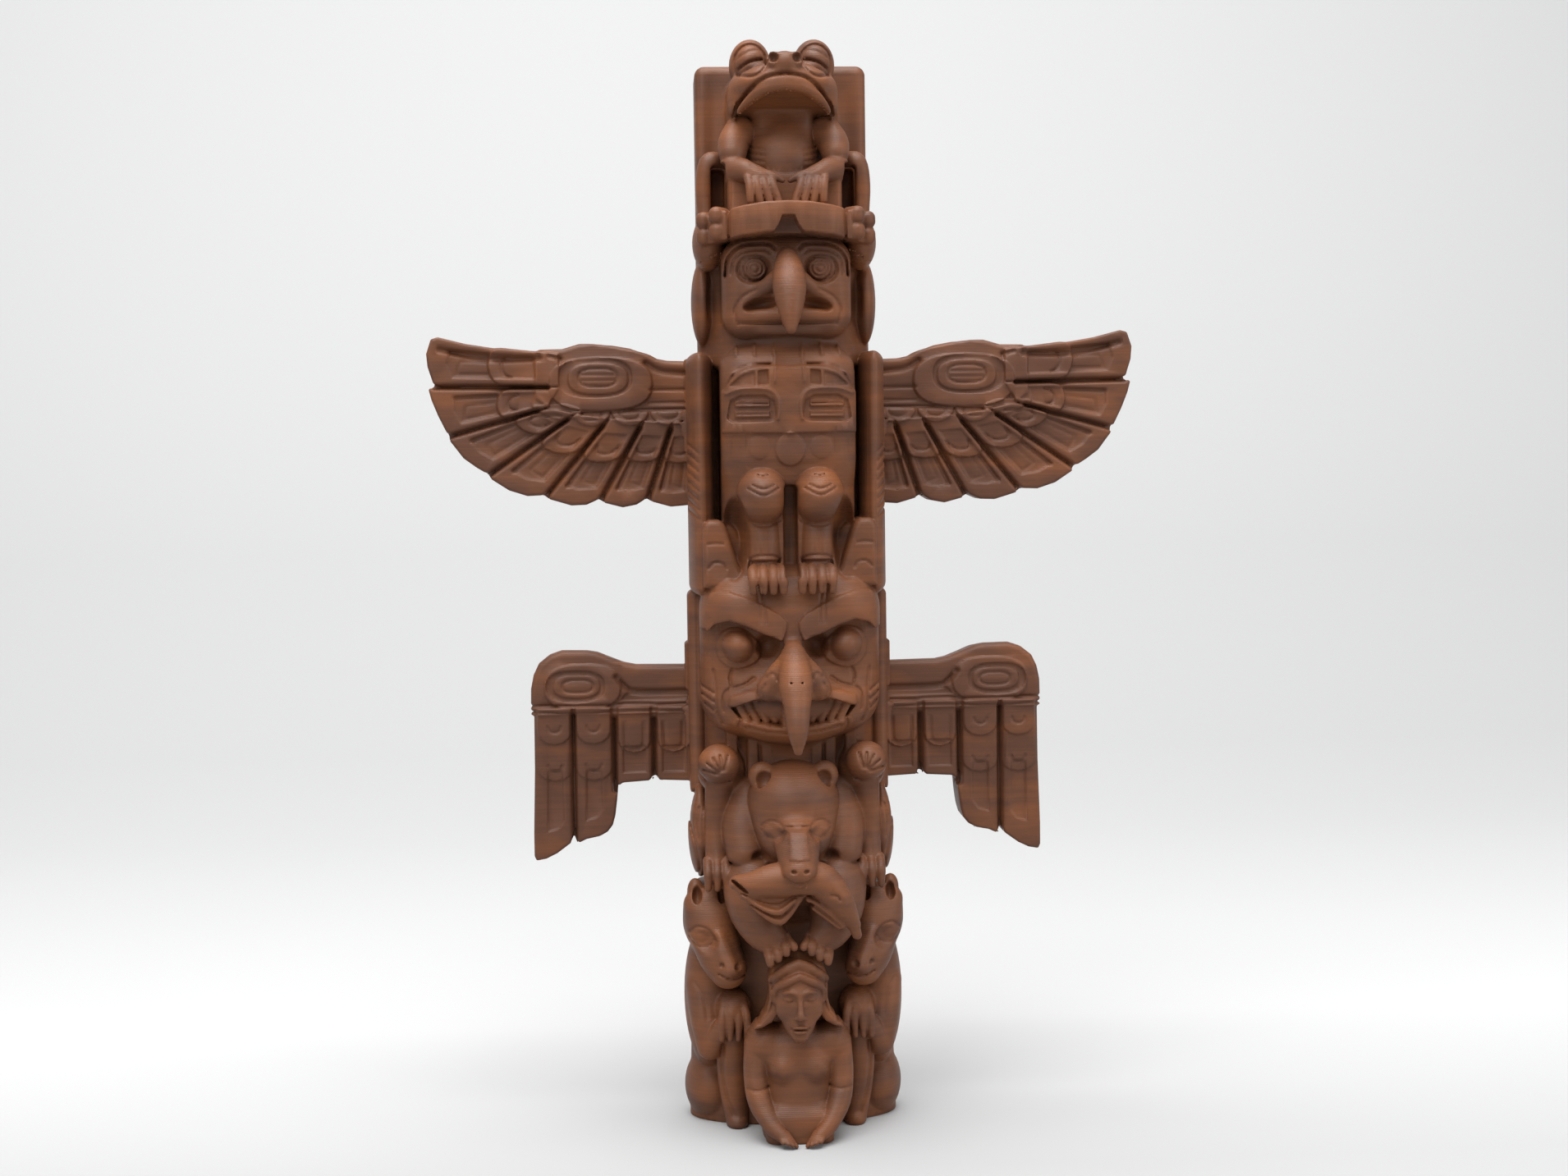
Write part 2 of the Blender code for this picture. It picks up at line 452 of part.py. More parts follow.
def build():
    clear_scene()
    feet = {"woman": 0.0, "wolves": 0.0}
    feet["bear"] = WOMAN_HEIGHT - BEAR_SINK
    feet["lower_bird"] = WOLF_HEIGHT - LOWER_BIRD_SINK
    feet["upper_bird"] = feet["lower_bird"] + LOWER_BIRD_HEIGHT - UPPER_BIRD_SINK
    feet["frog"] = feet["upper_bird"] + UPPER_BIRD_HEIGHT - FROG_SINK
    grids = {name: Figure(feet[name], *FIGURES[name]) for name in FIGURES}
    forms = forms_pair()
    pole(forms, feet)
    woman(forms, grids["woman"])
    wolves(forms, grids["wolves"])
    bear(forms, grids["bear"])
    fish(forms, grids["bear"])
    lower_bird(forms, grids["lower_bird"])
    lower_wings(forms, grids["lower_bird"])
    upper_bird(forms, grids["upper_bird"])
    upper_wings(forms, grids["upper_bird"])
    frog(forms, grids["frog"])

    parts = bpy.data.collections.new("totem pole")
    tools = bpy.data.collections.new("cutters")
    bpy.context.scene.collection.children.link(parts)
    bpy.context.scene.collection.children.link(tools)
    carving = heap_object("totem_pole", forms, parts)
    hollows = heap_object("hollows", cutters(grids), tools)
    hollows.hide_render = True
    hollows.display_type = 'WIRE'
    carving.data.materials.append(print_plastic())
    clay = carving.modifiers.new("one body", 'REMESH')
    clay.mode = 'VOXEL'
    clay.voxel_size = CLAY_CELL
    facets = carving.modifiers.new("facets", 'DECIMATE')
    facets.ratio = FACET_SHARE
    cut = carving.modifiers.new("hollows", 'BOOLEAN')
    cut.operation = 'DIFFERENCE'
    cut.object = hollows


build()
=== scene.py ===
from functools import partial
from math import copysign, cos, pi, radians, sin

import bpy
import numpy as np
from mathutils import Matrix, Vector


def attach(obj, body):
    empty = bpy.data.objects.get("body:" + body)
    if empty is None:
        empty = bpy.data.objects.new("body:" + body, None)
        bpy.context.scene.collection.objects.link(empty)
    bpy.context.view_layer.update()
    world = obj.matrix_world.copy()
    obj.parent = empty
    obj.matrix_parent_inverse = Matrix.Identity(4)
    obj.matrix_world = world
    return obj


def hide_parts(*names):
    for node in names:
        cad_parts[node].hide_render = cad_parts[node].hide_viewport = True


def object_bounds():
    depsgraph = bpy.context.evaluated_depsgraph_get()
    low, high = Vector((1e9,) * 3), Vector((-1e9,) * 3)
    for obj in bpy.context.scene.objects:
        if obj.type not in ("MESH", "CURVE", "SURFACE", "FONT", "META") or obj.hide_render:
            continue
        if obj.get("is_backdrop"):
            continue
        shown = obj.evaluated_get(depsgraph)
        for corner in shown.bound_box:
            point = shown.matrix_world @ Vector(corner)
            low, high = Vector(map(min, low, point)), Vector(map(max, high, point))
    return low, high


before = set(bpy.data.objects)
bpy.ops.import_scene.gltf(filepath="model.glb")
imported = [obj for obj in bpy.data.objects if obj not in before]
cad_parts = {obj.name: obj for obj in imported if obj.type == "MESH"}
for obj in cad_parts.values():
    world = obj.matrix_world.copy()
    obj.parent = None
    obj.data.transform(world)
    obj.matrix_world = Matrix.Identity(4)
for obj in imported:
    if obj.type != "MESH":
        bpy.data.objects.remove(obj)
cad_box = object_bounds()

import openvdb
from mathutils import Matrix, Vector

# The clay. The whole carving is shaped as signed distance in millimetres on one lattice, less than zero
# inside. Places are (across, out, up): out of the pole towards the viewer, which is -Y in the frame. The
# right half is shaped first and the left half is its mirror image.
CELL = 0.22
BAND = 3.0
FRONT = 26
spans = [((0, -16, -1.5), (22.5, FRONT, 202.5)), ((22.5, -16, 44), (68, -4, 150))]


class Clay:
    """Blocks of clay that share a lattice, each with the lattice index of its first cell."""

    def __init__(self, firsts, blocks):
        self.firsts = firsts
        self.blocks = blocks

    def near(self, low, high, margin):
        """The cells of each block in a box, as a view, with their places across, out and up."""
        for first, block in zip(self.firsts, self.blocks):
            start = np.floor((np.array(low) - margin) / CELL).astype(int) - first
            stop = np.ceil((np.array(high) + margin) / CELL).astype(int) + 1 - first
            start = np.maximum(start, 0)
            stop = np.minimum(stop, block.shape)
            if np.all(stop > start):
                view = block[start[0]:stop[0], start[1]:stop[1], start[2]:stop[2]]
                ends = zip(start + first, stop + first)
                axes = [CELL * np.arange(a, b, dtype=np.float32) for a, b in ends]
                yield view, np.meshgrid(*axes, indexing="ij", sparse=True)

    def add(self, form, blend=0.3):
        """Joins a form on, with a fillet about as wide as blend."""
        measure, low, high = form
        for view, place in self.near(low, high, max(blend, 0.9) + 2 * CELL):
            distance = measure(*place)
            fillet = np.maximum(blend - np.abs(view - distance), 0.0)
            np.minimum(view, distance, out=view)
            view -= fillet * fillet / (4 * blend)

    def cut(self, form, blend=0.8):
        """Carves a form away."""
        measure, low, high = form
        for view, place in self.near(low, high, blend + 2 * CELL):
            distance = -measure(*place)
            fillet = np.maximum(blend - np.abs(view - distance), 0.0)
            np.maximum(view, distance, out=view)
            view += fillet * fillet / (4 * blend)

    def etch(self, points, depth, width=0.25, start=0, stop=FRONT, closed=False, smooth=True):
        """Cuts a line seen from the front into the surface there, between start and stop along the view.
        A negative depth raises it."""
        line = np.array(points, float)
        if smooth:
            line = smooth_line(line, closed)
        elif closed:
            line = np.vstack([line, line[:1]])
        low = (line[:, 0].min(), start, line[:, 1].min())
        high = (line[:, 0].max(), stop, line[:, 1].max())
        for view, (x, o, z) in self.near(low, high, 3 * width):
            inside = (o >= start) & (o <= stop)
            near_line = line_distance(x, z, line)
            view += depth * np.exp(-(near_line / width) ** 2) * inside

    def sink(self, outline, depth, edge=0.4, start=0, stop=FRONT, smooth=False):
        """Lowers, or for a negative depth raises, the surface inside an outline seen from the front."""
        shape = np.array(outline, float)
        if smooth:
            shape = smooth_line(shape, True)
        low = (shape[:, 0].min(), start, shape[:, 1].min())
        high = (shape[:, 0].max(), stop, shape[:, 1].max())
        for view, (x, o, z) in self.near(low, high, edge + CELL):
            inside = (o >= start) & (o <= stop)
            share = np.clip(0.5 - outline_distance(x, z, shape) / edge, 0, 1)
            view += depth * share * share * (3 - 2 * share) * inside


def smooth_line(points, closed=False, steps=5):
    """A smooth line through points, as closer points."""
    points = np.array(points, float)
    if closed:
        padded = np.vstack([points[-1:], points, points[:2]])
    else:
        padded = np.vstack([2 * points[0] - points[1], points, 2 * points[-1] - points[-2]])
    made = []
    for a, b, c, d in zip(padded, padded[1:], padded[2:], padded[3:]):
        for t in np.arange(steps) / steps:
            made.append(0.5 * (2 * b + (c - a) * t + (2 * a - 5 * b + 4 * c - d) * t * t
                               + (3 * b - a - 3 * c + d) * t ** 3))
    if not closed:
        made.append(points[-1])
    return np.array(made)


def line_distance(x, z, line):
    """Distance from each cell to a line in the front view."""
    best = None
    for (ax, az), (bx, bz) in zip(line, line[1:]):
        dx, dz = bx - ax, bz - az
        t = np.clip(((x - ax) * dx + (z - az) * dz) / (dx * dx + dz * dz + 1e-9), 0, 1)
        distance = (x - ax - t * dx) ** 2 + (z - az - t * dz) ** 2
        best = distance if best is None else np.minimum(best, distance)
    return np.sqrt(best)


def outline_distance(x, z, outline):
    """Signed distance from each cell to a closed outline in the front view."""
    ends = np.vstack([outline, outline[:1]])
    away = line_distance(x, z, ends)
    inside = np.zeros(away.shape, bool)
    for (ax, az), (bx, bz) in zip(ends, ends[1:]):
        if az != bz:
            crosses = ((az > z) != (bz > z)) & (x < (bx - ax) * (z - az) / (bz - az) + ax)
            inside ^= crosses
    return np.where(inside, -away, away)


def turned(roll, lean, swing):
    """Axes of a turned form: roll lifts its right end, lean tips its top forward, swing its right side."""
    a, b, c = (radians(v) for v in (roll, lean, swing))
    rolled = np.array([[cos(a), 0, sin(a)], [0, 1, 0], [-sin(a), 0, cos(a)]])
    leaned = np.array([[1, 0, 0], [0, cos(b), -sin(b)], [0, sin(b), cos(b)]])
    swung = np.array([[cos(c), sin(c), 0], [-sin(c), cos(c), 0], [0, 0, 1]])
    return rolled @ leaned @ swung


def local(place, centre, axes):
    gaps = [p - c for p, c in zip(place, centre)]
    if np.allclose(axes, np.eye(3)):
        return gaps
    return [sum(float(axis[k]) * gaps[k] for k in range(3)) for axis in axes]


def bounds_of(centre, halves, axes):
    reach = np.abs(axes.T) @ np.array(halves, float)
    return np.array(centre) - reach, np.array(centre) + reach


def ball(centre, radii, roll=0, lean=0):
    axes = turned(roll, lean, 0)

    def measure(*place):
        unit = [g / r for g, r in zip(local(place, centre, axes), radii)]
        near = np.sqrt(unit[0] ** 2 + unit[1] ** 2 + unit[2] ** 2)
        steep = np.sqrt((unit[0] / radii[0]) ** 2 + (unit[1] / radii[1]) ** 2 + (unit[2] / radii[2]) ** 2)
        return near * (near - 1) / (steep + 1e-6)
    return (measure, *bounds_of(centre, radii, axes))


def block(centre, halves, rounding=0.5, roll=0, lean=0, swing=0):
    axes = turned(roll, lean, swing)

    def measure(*place):
        past = [np.abs(g) - (h - rounding) for g, h in zip(local(place, centre, axes), halves)]
        outside = np.sqrt(sum(np.maximum(p, 0) ** 2 for p in past))
        return outside + np.minimum(np.maximum(np.maximum(past[0], past[1]), past[2]), 0) - rounding
    return (measure, *bounds_of(centre, halves, axes))


def rounded(side, end, rounding):
    """Distance to two faces moved in by the rounding, with a rounded edge where they meet."""
    outside = np.sqrt(np.maximum(side, 0) ** 2 + np.maximum(end, 0) ** 2)
    return outside + np.minimum(np.maximum(side, end), 0) - rounding


def drum(centre, radii, half_height, rounding=0.5, taper=1.0):
    """An upright oval drum, its top as many times as wide as taper says."""
    def measure(x, o, z):
        gap_x, gap_o, gap_z = x - centre[0], o - centre[1], z - centre[2]
        size = 1 + (taper - 1) * np.clip(gap_z / half_height + 1, 0, 2) / 2
        near = np.sqrt((gap_x / radii[0]) ** 2 + (gap_o / radii[1]) ** 2) / size
        steep = np.sqrt((gap_x / radii[0] ** 2) ** 2 + (gap_o / radii[1] ** 2) ** 2) / size ** 2
        side = near * (near - 1) / (steep + 1e-6) + rounding
        end = np.abs(gap_z) - half_height + rounding
        return rounded(side, end, rounding)
    return (measure, *bounds_of(centre, (*radii, half_height), np.eye(3)))


firsts = []
blocks = []
for low, high in spans:
    first = np.round(np.array(low) / CELL).astype(int)
    last = np.round(np.array(high) / CELL).astype(int)
    firsts.append(first)
    blocks.append(np.full(last - first, BAND, np.float32))
clay = Clay(firsts, blocks)
add = clay.add
cut = clay.cut
etch = clay.etch
sink = clay.sink

# The pole and its base. An oval pole runs up behind everything, wider behind the wolves, and a flat slab
# with rounded edges stands behind the frog.
add(drum((0, -5.5, 75), (16, 9.5), 90, rounding=0.6), 0.2)
add(drum((0, -5.5, 20), (19.8, 9.5), 25, rounding=1.2, taper=0.93), 0.5)
add(block((0, -8.8, 177.3), (15.8, 6.2, 19.3), rounding=1.8), 0.5)
cut(ball((12.4, -0.4, 184), (2, 2.6, 15)), 1)

# The woman at the foot. She sits low with her arms down to the ground, and her parted hair falls in two
# locks to her shoulders.


def limb(points, radii):
    """A round limb along a smooth line, its radius changing from point to point."""
    line = smooth_line([(*p, r) for p, r in zip(points, radii)], steps=4)

    def measure(x, o, z):
        best = None
        for a, b in zip(line, line[1:]):
            step = b - a
            t = ((x - a[0]) * step[0] + (o - a[1]) * step[1] + (z - a[2]) * step[2])
            t = np.clip(t / (step[:3] @ step[:3] + 1e-9), 0, 1)
            gap = np.sqrt((x - a[0] - t * step[0]) ** 2 + (o - a[1] - t * step[1]) ** 2
                          + (z - a[2] - t * step[2]) ** 2) - a[3] - t * step[3]
            best = gap if best is None else np.minimum(best, gap)
        return best
    reach = line[:, 3:].max()
    return measure, line[:, :3].min(0) - reach, line[:, :3].max(0) + reach


def board(outline, back, front, rounding=0.5):
    """A flat board with an outline seen from the front."""
    shape = np.array(outline, float)

    def measure(x, o, z):
        side = outline_distance(x, z, shape) + rounding
        face = np.abs(o - (front + back) / 2) - (front - back) / 2 + rounding
        return rounded(side, face, rounding)
    low = (shape[:, 0].min(), back, shape[:, 1].min())
    high = (shape[:, 0].max(), front, shape[:, 1].max())
    return measure, low, high


add(block((0, 6.4, 8.2), (6.6, 8.2, 12.2), rounding=5.5), 1)
add(block((0, 10.2, 2.4), (6.2, 5.6, 4.4), rounding=2.4), 1)
add(ball((2.8, 11.9, 13.4), (2.9, 3.6, 3.3)), 0.8)
add(ball((0, 9.6, 17.2), (5.6, 4.2, 4.2)), 1.5)
add(ball((6.2, 9.2, 17.4), (3.5, 4.3, 4.2)), 1.5)
cut(ball((4.9, 16.4, 9), (1.1, 2.6, 4.6), roll=8))
add(limb([(7.2, 9.8, 17.2), (7.8, 11, 11.8), (7.3, 12.8, 7.2), (5.2, 15.6, 3.6), (3.4, 16.9, 2)],
    [2.7, 2.3, 2.1, 1.6, 1.2]))
for across, reach, rise in ((1.0, 18.6, 0.5), (1.7, 19.1, 0.9), (2.5, 19.2, 1.2), (3.4, 18.9, 1.3)):
    add(limb([(across * 0.4 + 2.4, 16.6, 2.2), (across, reach - 0.4, rise)], [0.8, 0.42]), 0.15)
etch([(9.4, 9.8), (7.6, 9.6), (5.6, 9.9)], 0.3, start=6)
add(limb([(0, 9.4, 19.4), (0, 12.6, 23)], [3.1, 2.9]), 0.8)
head_lean = 8
add(ball((0, 13.6, 27.4), (4.4, 4.9, 6.6), lean=head_lean), 0.5)
add(ball((0, 15.6, 22.4), (2.6, 2.7, 3.2), lean=head_lean), 2)
add(ball((0, 17.3, 20.4), (1.4, 1.3, 1.2)), 1)
add(ball((2.7, 15.8, 25), (1.5, 1.6, 1.7)), 1.2)
cut(ball((1.85, 18.9, 27.2), (1.35, 0.9, 0.8)))
add(ball((1.85, 17.3, 27.1), (1.05, 0.85, 0.72)), 0.15)
add(limb([(0.5, 18.5, 28.3), (1.7, 18.4, 28.7), (3, 17.4, 28.3)], [0.3, 0.36, 0.25]), 0.5)
add(limb([(0, 18.3, 27.8), (0, 19, 25.8), (0, 19.4, 24.4)], [0.42, 0.5, 0.72]), 0.5)
add(ball((0.75, 18.9, 24.1), (0.5, 0.55, 0.45)))
add(limb([(0, 18.9, 22.3), (0.9, 18.6, 22.2), (1.6, 18, 21.9)], [0.42, 0.38, 0.2]))
add(limb([(0, 18.7, 21.5), (0.8, 18.5, 21.5), (1.5, 18, 21.8)], [0.48, 0.42, 0.2]))
etch([(0, 21.9), (0.8, 21.88), (1.6, 21.85)], 0.3, 0.2, start=16.5)
etch([(0.9, 27), (1.85, 26.82), (2.8, 27)], 0.2, 0.18, start=16)
hair = [(-1, 34.4), (0, 34.4), (2.6, 33.6), (4.6, 32.2), (5.3, 30.6), (5.3, 26.6), (5.9, 24.2), (8.4, 20.9),
    (6.6, 21.3), (4.8, 22.3), (3.6, 24), (3.5, 29.4), (0, 31), (-1, 31)]
add(board(hair, 8.6, 14.4))
add(ball((0, 12, 29.4), (5.2, 5, 5.2)), 0.5)
add(limb([(-0.5, 16.2, 33.4), (2.4, 16.1, 32.2), (4.6, 14.2, 30.2)], [1.1, 1.05, 0.95]), 0.2)
add(limb([(-0.5, 18.1, 31.7), (2.2, 17.7, 30.4), (4.3, 15.8, 28.8), (4.5, 14.6, 26.2)],
    [0.7, 0.8, 0.75, 0.6]), 0.12)
etch([(4.9, 30.6), (4.7, 27), (5.1, 24.6), (7.2, 22)], 0.3, 0.22, start=8)

# The wolves. One crouches on each side with its head turned in and down, long fingers over its knee.


def spaced(count, first, last):
    return [first + (last - first) * step / (count - 1) for step in range(count)]


add(ball((15.3, 1.6, 38.6), (5.2, 6.3, 6.6)), 0.8)
add(block((15.6, 1.4, 40.2), (4.6, 5.2, 4.3), rounding=2.6, roll=-6, lean=-14), 1)
add(limb([(15.2, 3.8, 37.4), (13.9, 6.2, 33.2), (12.5, 7.6, 30.6)], [4.5, 4.1, 3.5]), 0.8)
add(block((13.2, 8, 33.2), (1.5, 3, 4.4), rounding=1.2, roll=-22, lean=-24), 0.8)
cut(ball((17.2, 9.7, 36.5), (2.9, 2.4, 2.3), roll=14))
add(ball((17.2, 5.6, 36.7), (2.4, 2, 1.8), roll=14), 0.15)
etch([(14.9, 36.4), (16, 38.2), (18, 38.7), (19.4, 37.6)], 0.3, 0.2, start=3)
etch([(14.9, 36.2), (16.2, 35), (18, 35.1), (19.4, 36.6)], 0.25, 0.2, start=3)
add(ball((18, 2.6, 43.9), (1.7, 2.1, 2.9), roll=-6))
add(ball((13.2, 3, 43.6), (1.5, 1.9, 2.6), roll=6))
cut(ball((17.9, 5, 44), (0.9, 1.9, 1.8)), 0.2)
cut(ball((13.4, 5.2, 43.8), (0.75, 1.7, 1.5)), 0.2)
cut(ball((10.6, 11.3, 31.8), (0.85, 1.4, 0.75)), 0.25)
cut(ball((13.8, 11.6, 32.2), (0.6, 1.2, 0.6)), 0.25)
etch([(9.6, 29.8), (11, 29.5), (12.6, 29.7), (14.2, 30.4)], 0.5, 0.24, start=5)
add(ball((15.9, -1.7, 24), (4.6, 7, 14)), 1)
add(limb([(17.2, 1.2, 26.5), (16.6, 3.2, 20.5), (15.9, 4, 15.4)], [3, 2.9, 2.5]), 0.5)
add(ball((11.5, 4.4, 22.8), (3.4, 3.8, 3.6)), 0.8)
add(limb([(15.2, 5, 16.4), (13.6, 6.6, 19.6), (12, 7.2, 22.4)], [2, 1.9, 1.6]), 0.4)
for across in spaced(4, 9.2, 13.7):
    add(limb([(across * 0.7 + 3.6, 6, 24.6), (across, 8.1, 21.6), (across + 0.1, 8, 17.7)],
        [0.8, 0.78, 0.52]), 0.12)
add(limb([(11.6, 3.7, 18), (11.7, 3, 9), (11, 3, 0)], [3.1, 2.9, 2]), 0.5)
etch([(13.6, 16.4), (13.7, 11), (12.9, 6), (11.6, 2.2)], 0.5, 0.4)
add(ball((11, 4, 0.9), (1.9, 2, 1.6)), 0.5)
add(ball((15.6, -5.2, 5.9), (5, 7.2, 6.9)))
etch([(18.6, 27.5), (17, 25), (16.4, 21)], 0.3, 0.4, start=-2)

# The bear. It sits on the woman's head with its knees up and its chin over the fish.
add(ball((0, 3.4, 51.6), (10, 8, 13.5)), 1)
add(ball((0, 6.6, 61.4), (8.4, 8.8, 7.6)), 0.5)
add(ball((0, 9.6, 57.8), (7.4, 5.9, 5.6)), 1.4)
add(ball((0, 10.6, 55.2), (6.3, 5.5, 4.6)), 1.2)
add(limb([(0, 12.4, 56.9), (0, 16.6, 54.7), (0, 20.6, 51.2)], [4.3, 4, 3.2]), 0.8)
sink([(-1, 57.9), (1.6, 57.9), (1.9, 53.4), (-1, 53.4)], -0.3, 0.3, start=10)
add(ball((0, 22, 51.2), (2.8, 1.9, 1.9)), 0.5)
add(ball((5.7, 7.6, 66.3), (2.6, 1.8, 2.7)), 0.4)
cut(ball((5.5, 9.9, 65.9), (1.6, 1.7, 1.8)), 0.3)
cut(ball((4.4, 17.2, 57.2), (2.2, 2.2, 1.5), roll=8), 0.6)
add(ball((4.3, 12.7, 57.4), (1.9, 1.9, 1.3), roll=-6))
etch([(2.1, 57.7), (3.2, 58.9), (4.8, 59.1), (6.2, 58.1)], 0.25, 0.22, start=10)
etch([(2.1, 57.5), (3.3, 56.3), (4.9, 56.1), (6.2, 57.3)], 0.22, 0.22, start=10)
etch([(0, 58.5), (2, 58.4)], 0.4, start=10, smooth=False)
cut(ball((1.2, 23.9, 51.5), (0.6, 0.9, 0.42)), 0.15)
etch([(0, 49.2), (1.2, 49.3), (2.4, 50)], 0.5, 0.3, start=22.2)
add(limb([(8.2, 2.6, 61.4), (9.2, 5.2, 57), (8.9, 7.4, 52.2)], [4.2, 4, 3.6]), 0.4)
cut(ball((6.5, 13.6, 51.7), (1.9, 5, 1.8), roll=-25), 0.4)
add(ball((7.3, 6.8, 45), (5.7, 7.4, 6.4)), 0.2)
etch([(4.6, 50.5), (7.6, 50), (10, 50.1), (12.8, 50.7)], 0.7, 0.28, start=2)
add(limb([(7.6, 8.2, 46), (7.4, 10.4, 42.4), (5.9, 12.6, 38.8), (3.7, 13.8, 37)], [5.4, 4.9, 3.7, 2.5]),
    0.8)
for across, rise in zip(spaced(4, 0.95, 5.3), (38.0, 37.0, 36.0, 35.2)):
    add(limb([(across + 0.2, 14.6, rise + 0.6), (across, 16.6, rise - 0.4),
        (across - 0.1, 17.2, rise - 1.4)], [0.95, 0.92, 0.7]), 0.12)
cut(ball((0, 16, 41.4), (2.1, 6, 4)), 1)

# The upper bird's body and legs, standing between the two boards that the wings grow from. The boards fall
# away inward to a deep gap beside the body.


def arc(centre, halves, count, turn=pi):
    """Points along an oval from its right end, through turn."""
    turns = spaced(count, 0, turn)
    return [(centre[0] + halves[0] * cos(a), centre[1] + halves[1] * sin(a)) for a in turns]


add(block((0, -1.2, 119.5), (12.6, 11, 23.5), rounding=7.5), 0.8)
add(block((0, 0.2, 131.8), (12.9, 11.4, 13.2), rounding=6.5), 2.4)
panel = [(-1, 140.8), (6.8, 141.2), (10.4, 139.8), (12.9, 135.2), (13.4, 129), (-1, 128.8)]
sink(panel, -0.8, 0.5, start=2)
ovoid = [(11.2, 131.6), (10.6, 134.8), (8.8, 135.7), (4.4, 135.7), (2.8, 134.8), (2.4, 131.9), (3.2, 131),
    (10.4, 130.9)]
sink(ovoid, 0.6, 0.35, start=2)
for rise in (134.2, 132.3):
    slot = [(9.8, rise - 0.55), (9.8, rise + 0.55), (3.6, rise + 0.55), (3.6, rise - 0.55)]
    sink(slot, -0.6, 0.3, start=2)
    etch([(3.9, rise), (9.5, rise)], 0.3, 0.2, start=2, smooth=False)
etch([(2.2, 131.4), (1.9, 133.6), (2.6, 135.8), (4.4, 136.8), (8.8, 136.8), (11.4, 136)], -0.45, 0.3,
    start=2)
sink([(3.8, 140.2), (5.6, 140), (5.6, 137.6), (3.8, 137.6)], 0.8, 0.3, start=2)
sink([(6.2, 140), (8.6, 139.2), (10.8, 137.4), (6.2, 137.4)], 0.5, 0.35, start=2)
etch([(3.4, 141.2), (6.4, 141), (9.4, 139.9), (11.8, 136.8)], 0.7, 0.3, start=2)
etch([(2.3, 143.5), (2.5, 141), (2.6, 138)], -0.35, start=2)
for across, rise, wide in ((0, 126.0, 2.7), (5.6, 126.4, 1.9)):
    disc = arc((across, rise), (wide, 1.15 * wide), 17, 2 * pi)[:-1]
    sink(disc, -0.45 if across == 0 else -0.2, 0.35, start=2)
for across in (2.6, 6.1, 9.4):
    etch([(across * 0.96, 147.4), (across, 143)], -0.45, 0.28, start=2, smooth=False)
add(ball((5.1, 9.8, 117.7), (4.6, 6.4, 5.1)))
etch([(3.2, 119.6), (5.1, 118.9), (7, 119.6)], 0.35, 0.2, start=11)
etch([(2.4, 119), (5.1, 117.8), (7.8, 119)], 0.35, 0.2, start=11)
etch([(4.2, 121.4), (5.1, 121.2), (6, 121.4)], 0.35, 0.2, start=11)
add(limb([(5, 8, 115), (4.9, 8.8, 110), (4.8, 9.6, 105)], [3.2, 3, 2.9]), 0.2)
etch([(1.8, 113.1), (5, 112.2), (8.2, 113.1)], 0.4, 0.28, start=6)
etch([(2, 106.2), (3.4, 106.8), (6.2, 106.8), (7.6, 106.2)], 0.4, start=6)
sink([(2, 106), (7.6, 106), (7.8, 104), (1.8, 104)], 0.7, start=6)
for across in spaced(4, 1.7, 7.1):
    add(limb([(0.8 * across + 0.9, 10, 104.6), (across, 12.8, 104.2), (across, 14.4, 102.7),
        (across, 14.4, 100.6)], [0.9, 0.98, 0.95, 0.7]), 0.08)
cut(block((0, 12, 111), (1.3, 6.5, 8.5), rounding=0.9), 0.5)
cut(block((13.2, 2.6, 119.6), (1, 11, 22), rounding=0.9), 0.5)
add(drum((15.9, -2.4, 121.6), (2.4, 8.8), 22.2, rounding=1.9), 0.2)
for rise in spaced(8, 113.5, 125.5):
    etch([(16.4, rise), (18.3, rise + 1.8)], 0.3, 0.22, start=-3, smooth=False)

# The lower bird's head. The face lies back under a brow with a sharp lower edge, and the beak hangs over a
# mouth of slanted teeth. Tall ears stand behind the brow.


def part_of(form, outline, rounding=0.4):
    """The part of a form inside an outline seen from the front, with rounded edges."""
    form_measure, low, high = form
    shape = np.array(outline, float)

    def measure(x, o, z):
        side = outline_distance(x, z, shape) + rounding
        face = form_measure(x, o, z) + rounding
        return rounded(side, face, rounding)
    low = np.maximum(low, (shape[:, 0].min(), -99, shape[:, 1].min()))
    high = np.minimum(high, (shape[:, 0].max(), 99, shape[:, 1].max()))
    return measure, low, high


add(block((0, -3.2, 88.6), (16.6, 12.2, 14.8), rounding=7.5), 0.6)
brow = [(-2, 90.2), (0, 90.4), (1.6, 91), (5, 92.9), (8.3, 94.5), (11.3, 95.5), (14, 94.8), (15.2, 93.4),
    (16.8, 93.2), (16.8, 108), (-2, 108)]
add(part_of(block((0, -0.6, 91), (16.7, 12.8, 14.4), rounding=9), brow), 0.15)
add(ball((0, 3.2, 79.4), (14.8, 10.6, 7.4)), 2.6)
cut(ball((4.6, 12, 90.2), (3, 5.6, 2.6), roll=-32))
lip = [(11.8, 79.6), (11.4, 81.3), (8.8, 82.3), (5, 83), (3, 82), (7.6, 80.7), (10.4, 79.5)]
sink(lip, -1, start=4)
mouth = [(11.2, 79.3), (7.8, 80.6), (5, 81.2), (2.2, 81), (2.2, 76), (6, 76.6), (9.8, 77.6)]
sink(mouth, 1.7, start=4)
for across in spaced(4, 4.2, 9.3):
    add(limb([(across + 0.7, 10, 80.4), (across - 0.9, 10.8, 77)], [0.85, 0.7]), 0.1)
jaw = [(-2, 75.5), (4, 75.7), (8.2, 76.7), (10.4, 77.6), (11.3, 76.4), (9.6, 74.5), (5, 72.6), (-2, 71.6)]
sink(jaw, -0.5, start=4)
etch([(0, 74.6), (2, 74.7), (5, 74.9), (8.4, 75.8)], 0.4, 0.22, start=8)
etch([(9.6, 77), (9.9, 75.8), (9.4, 74.6)], 0.4, start=6)
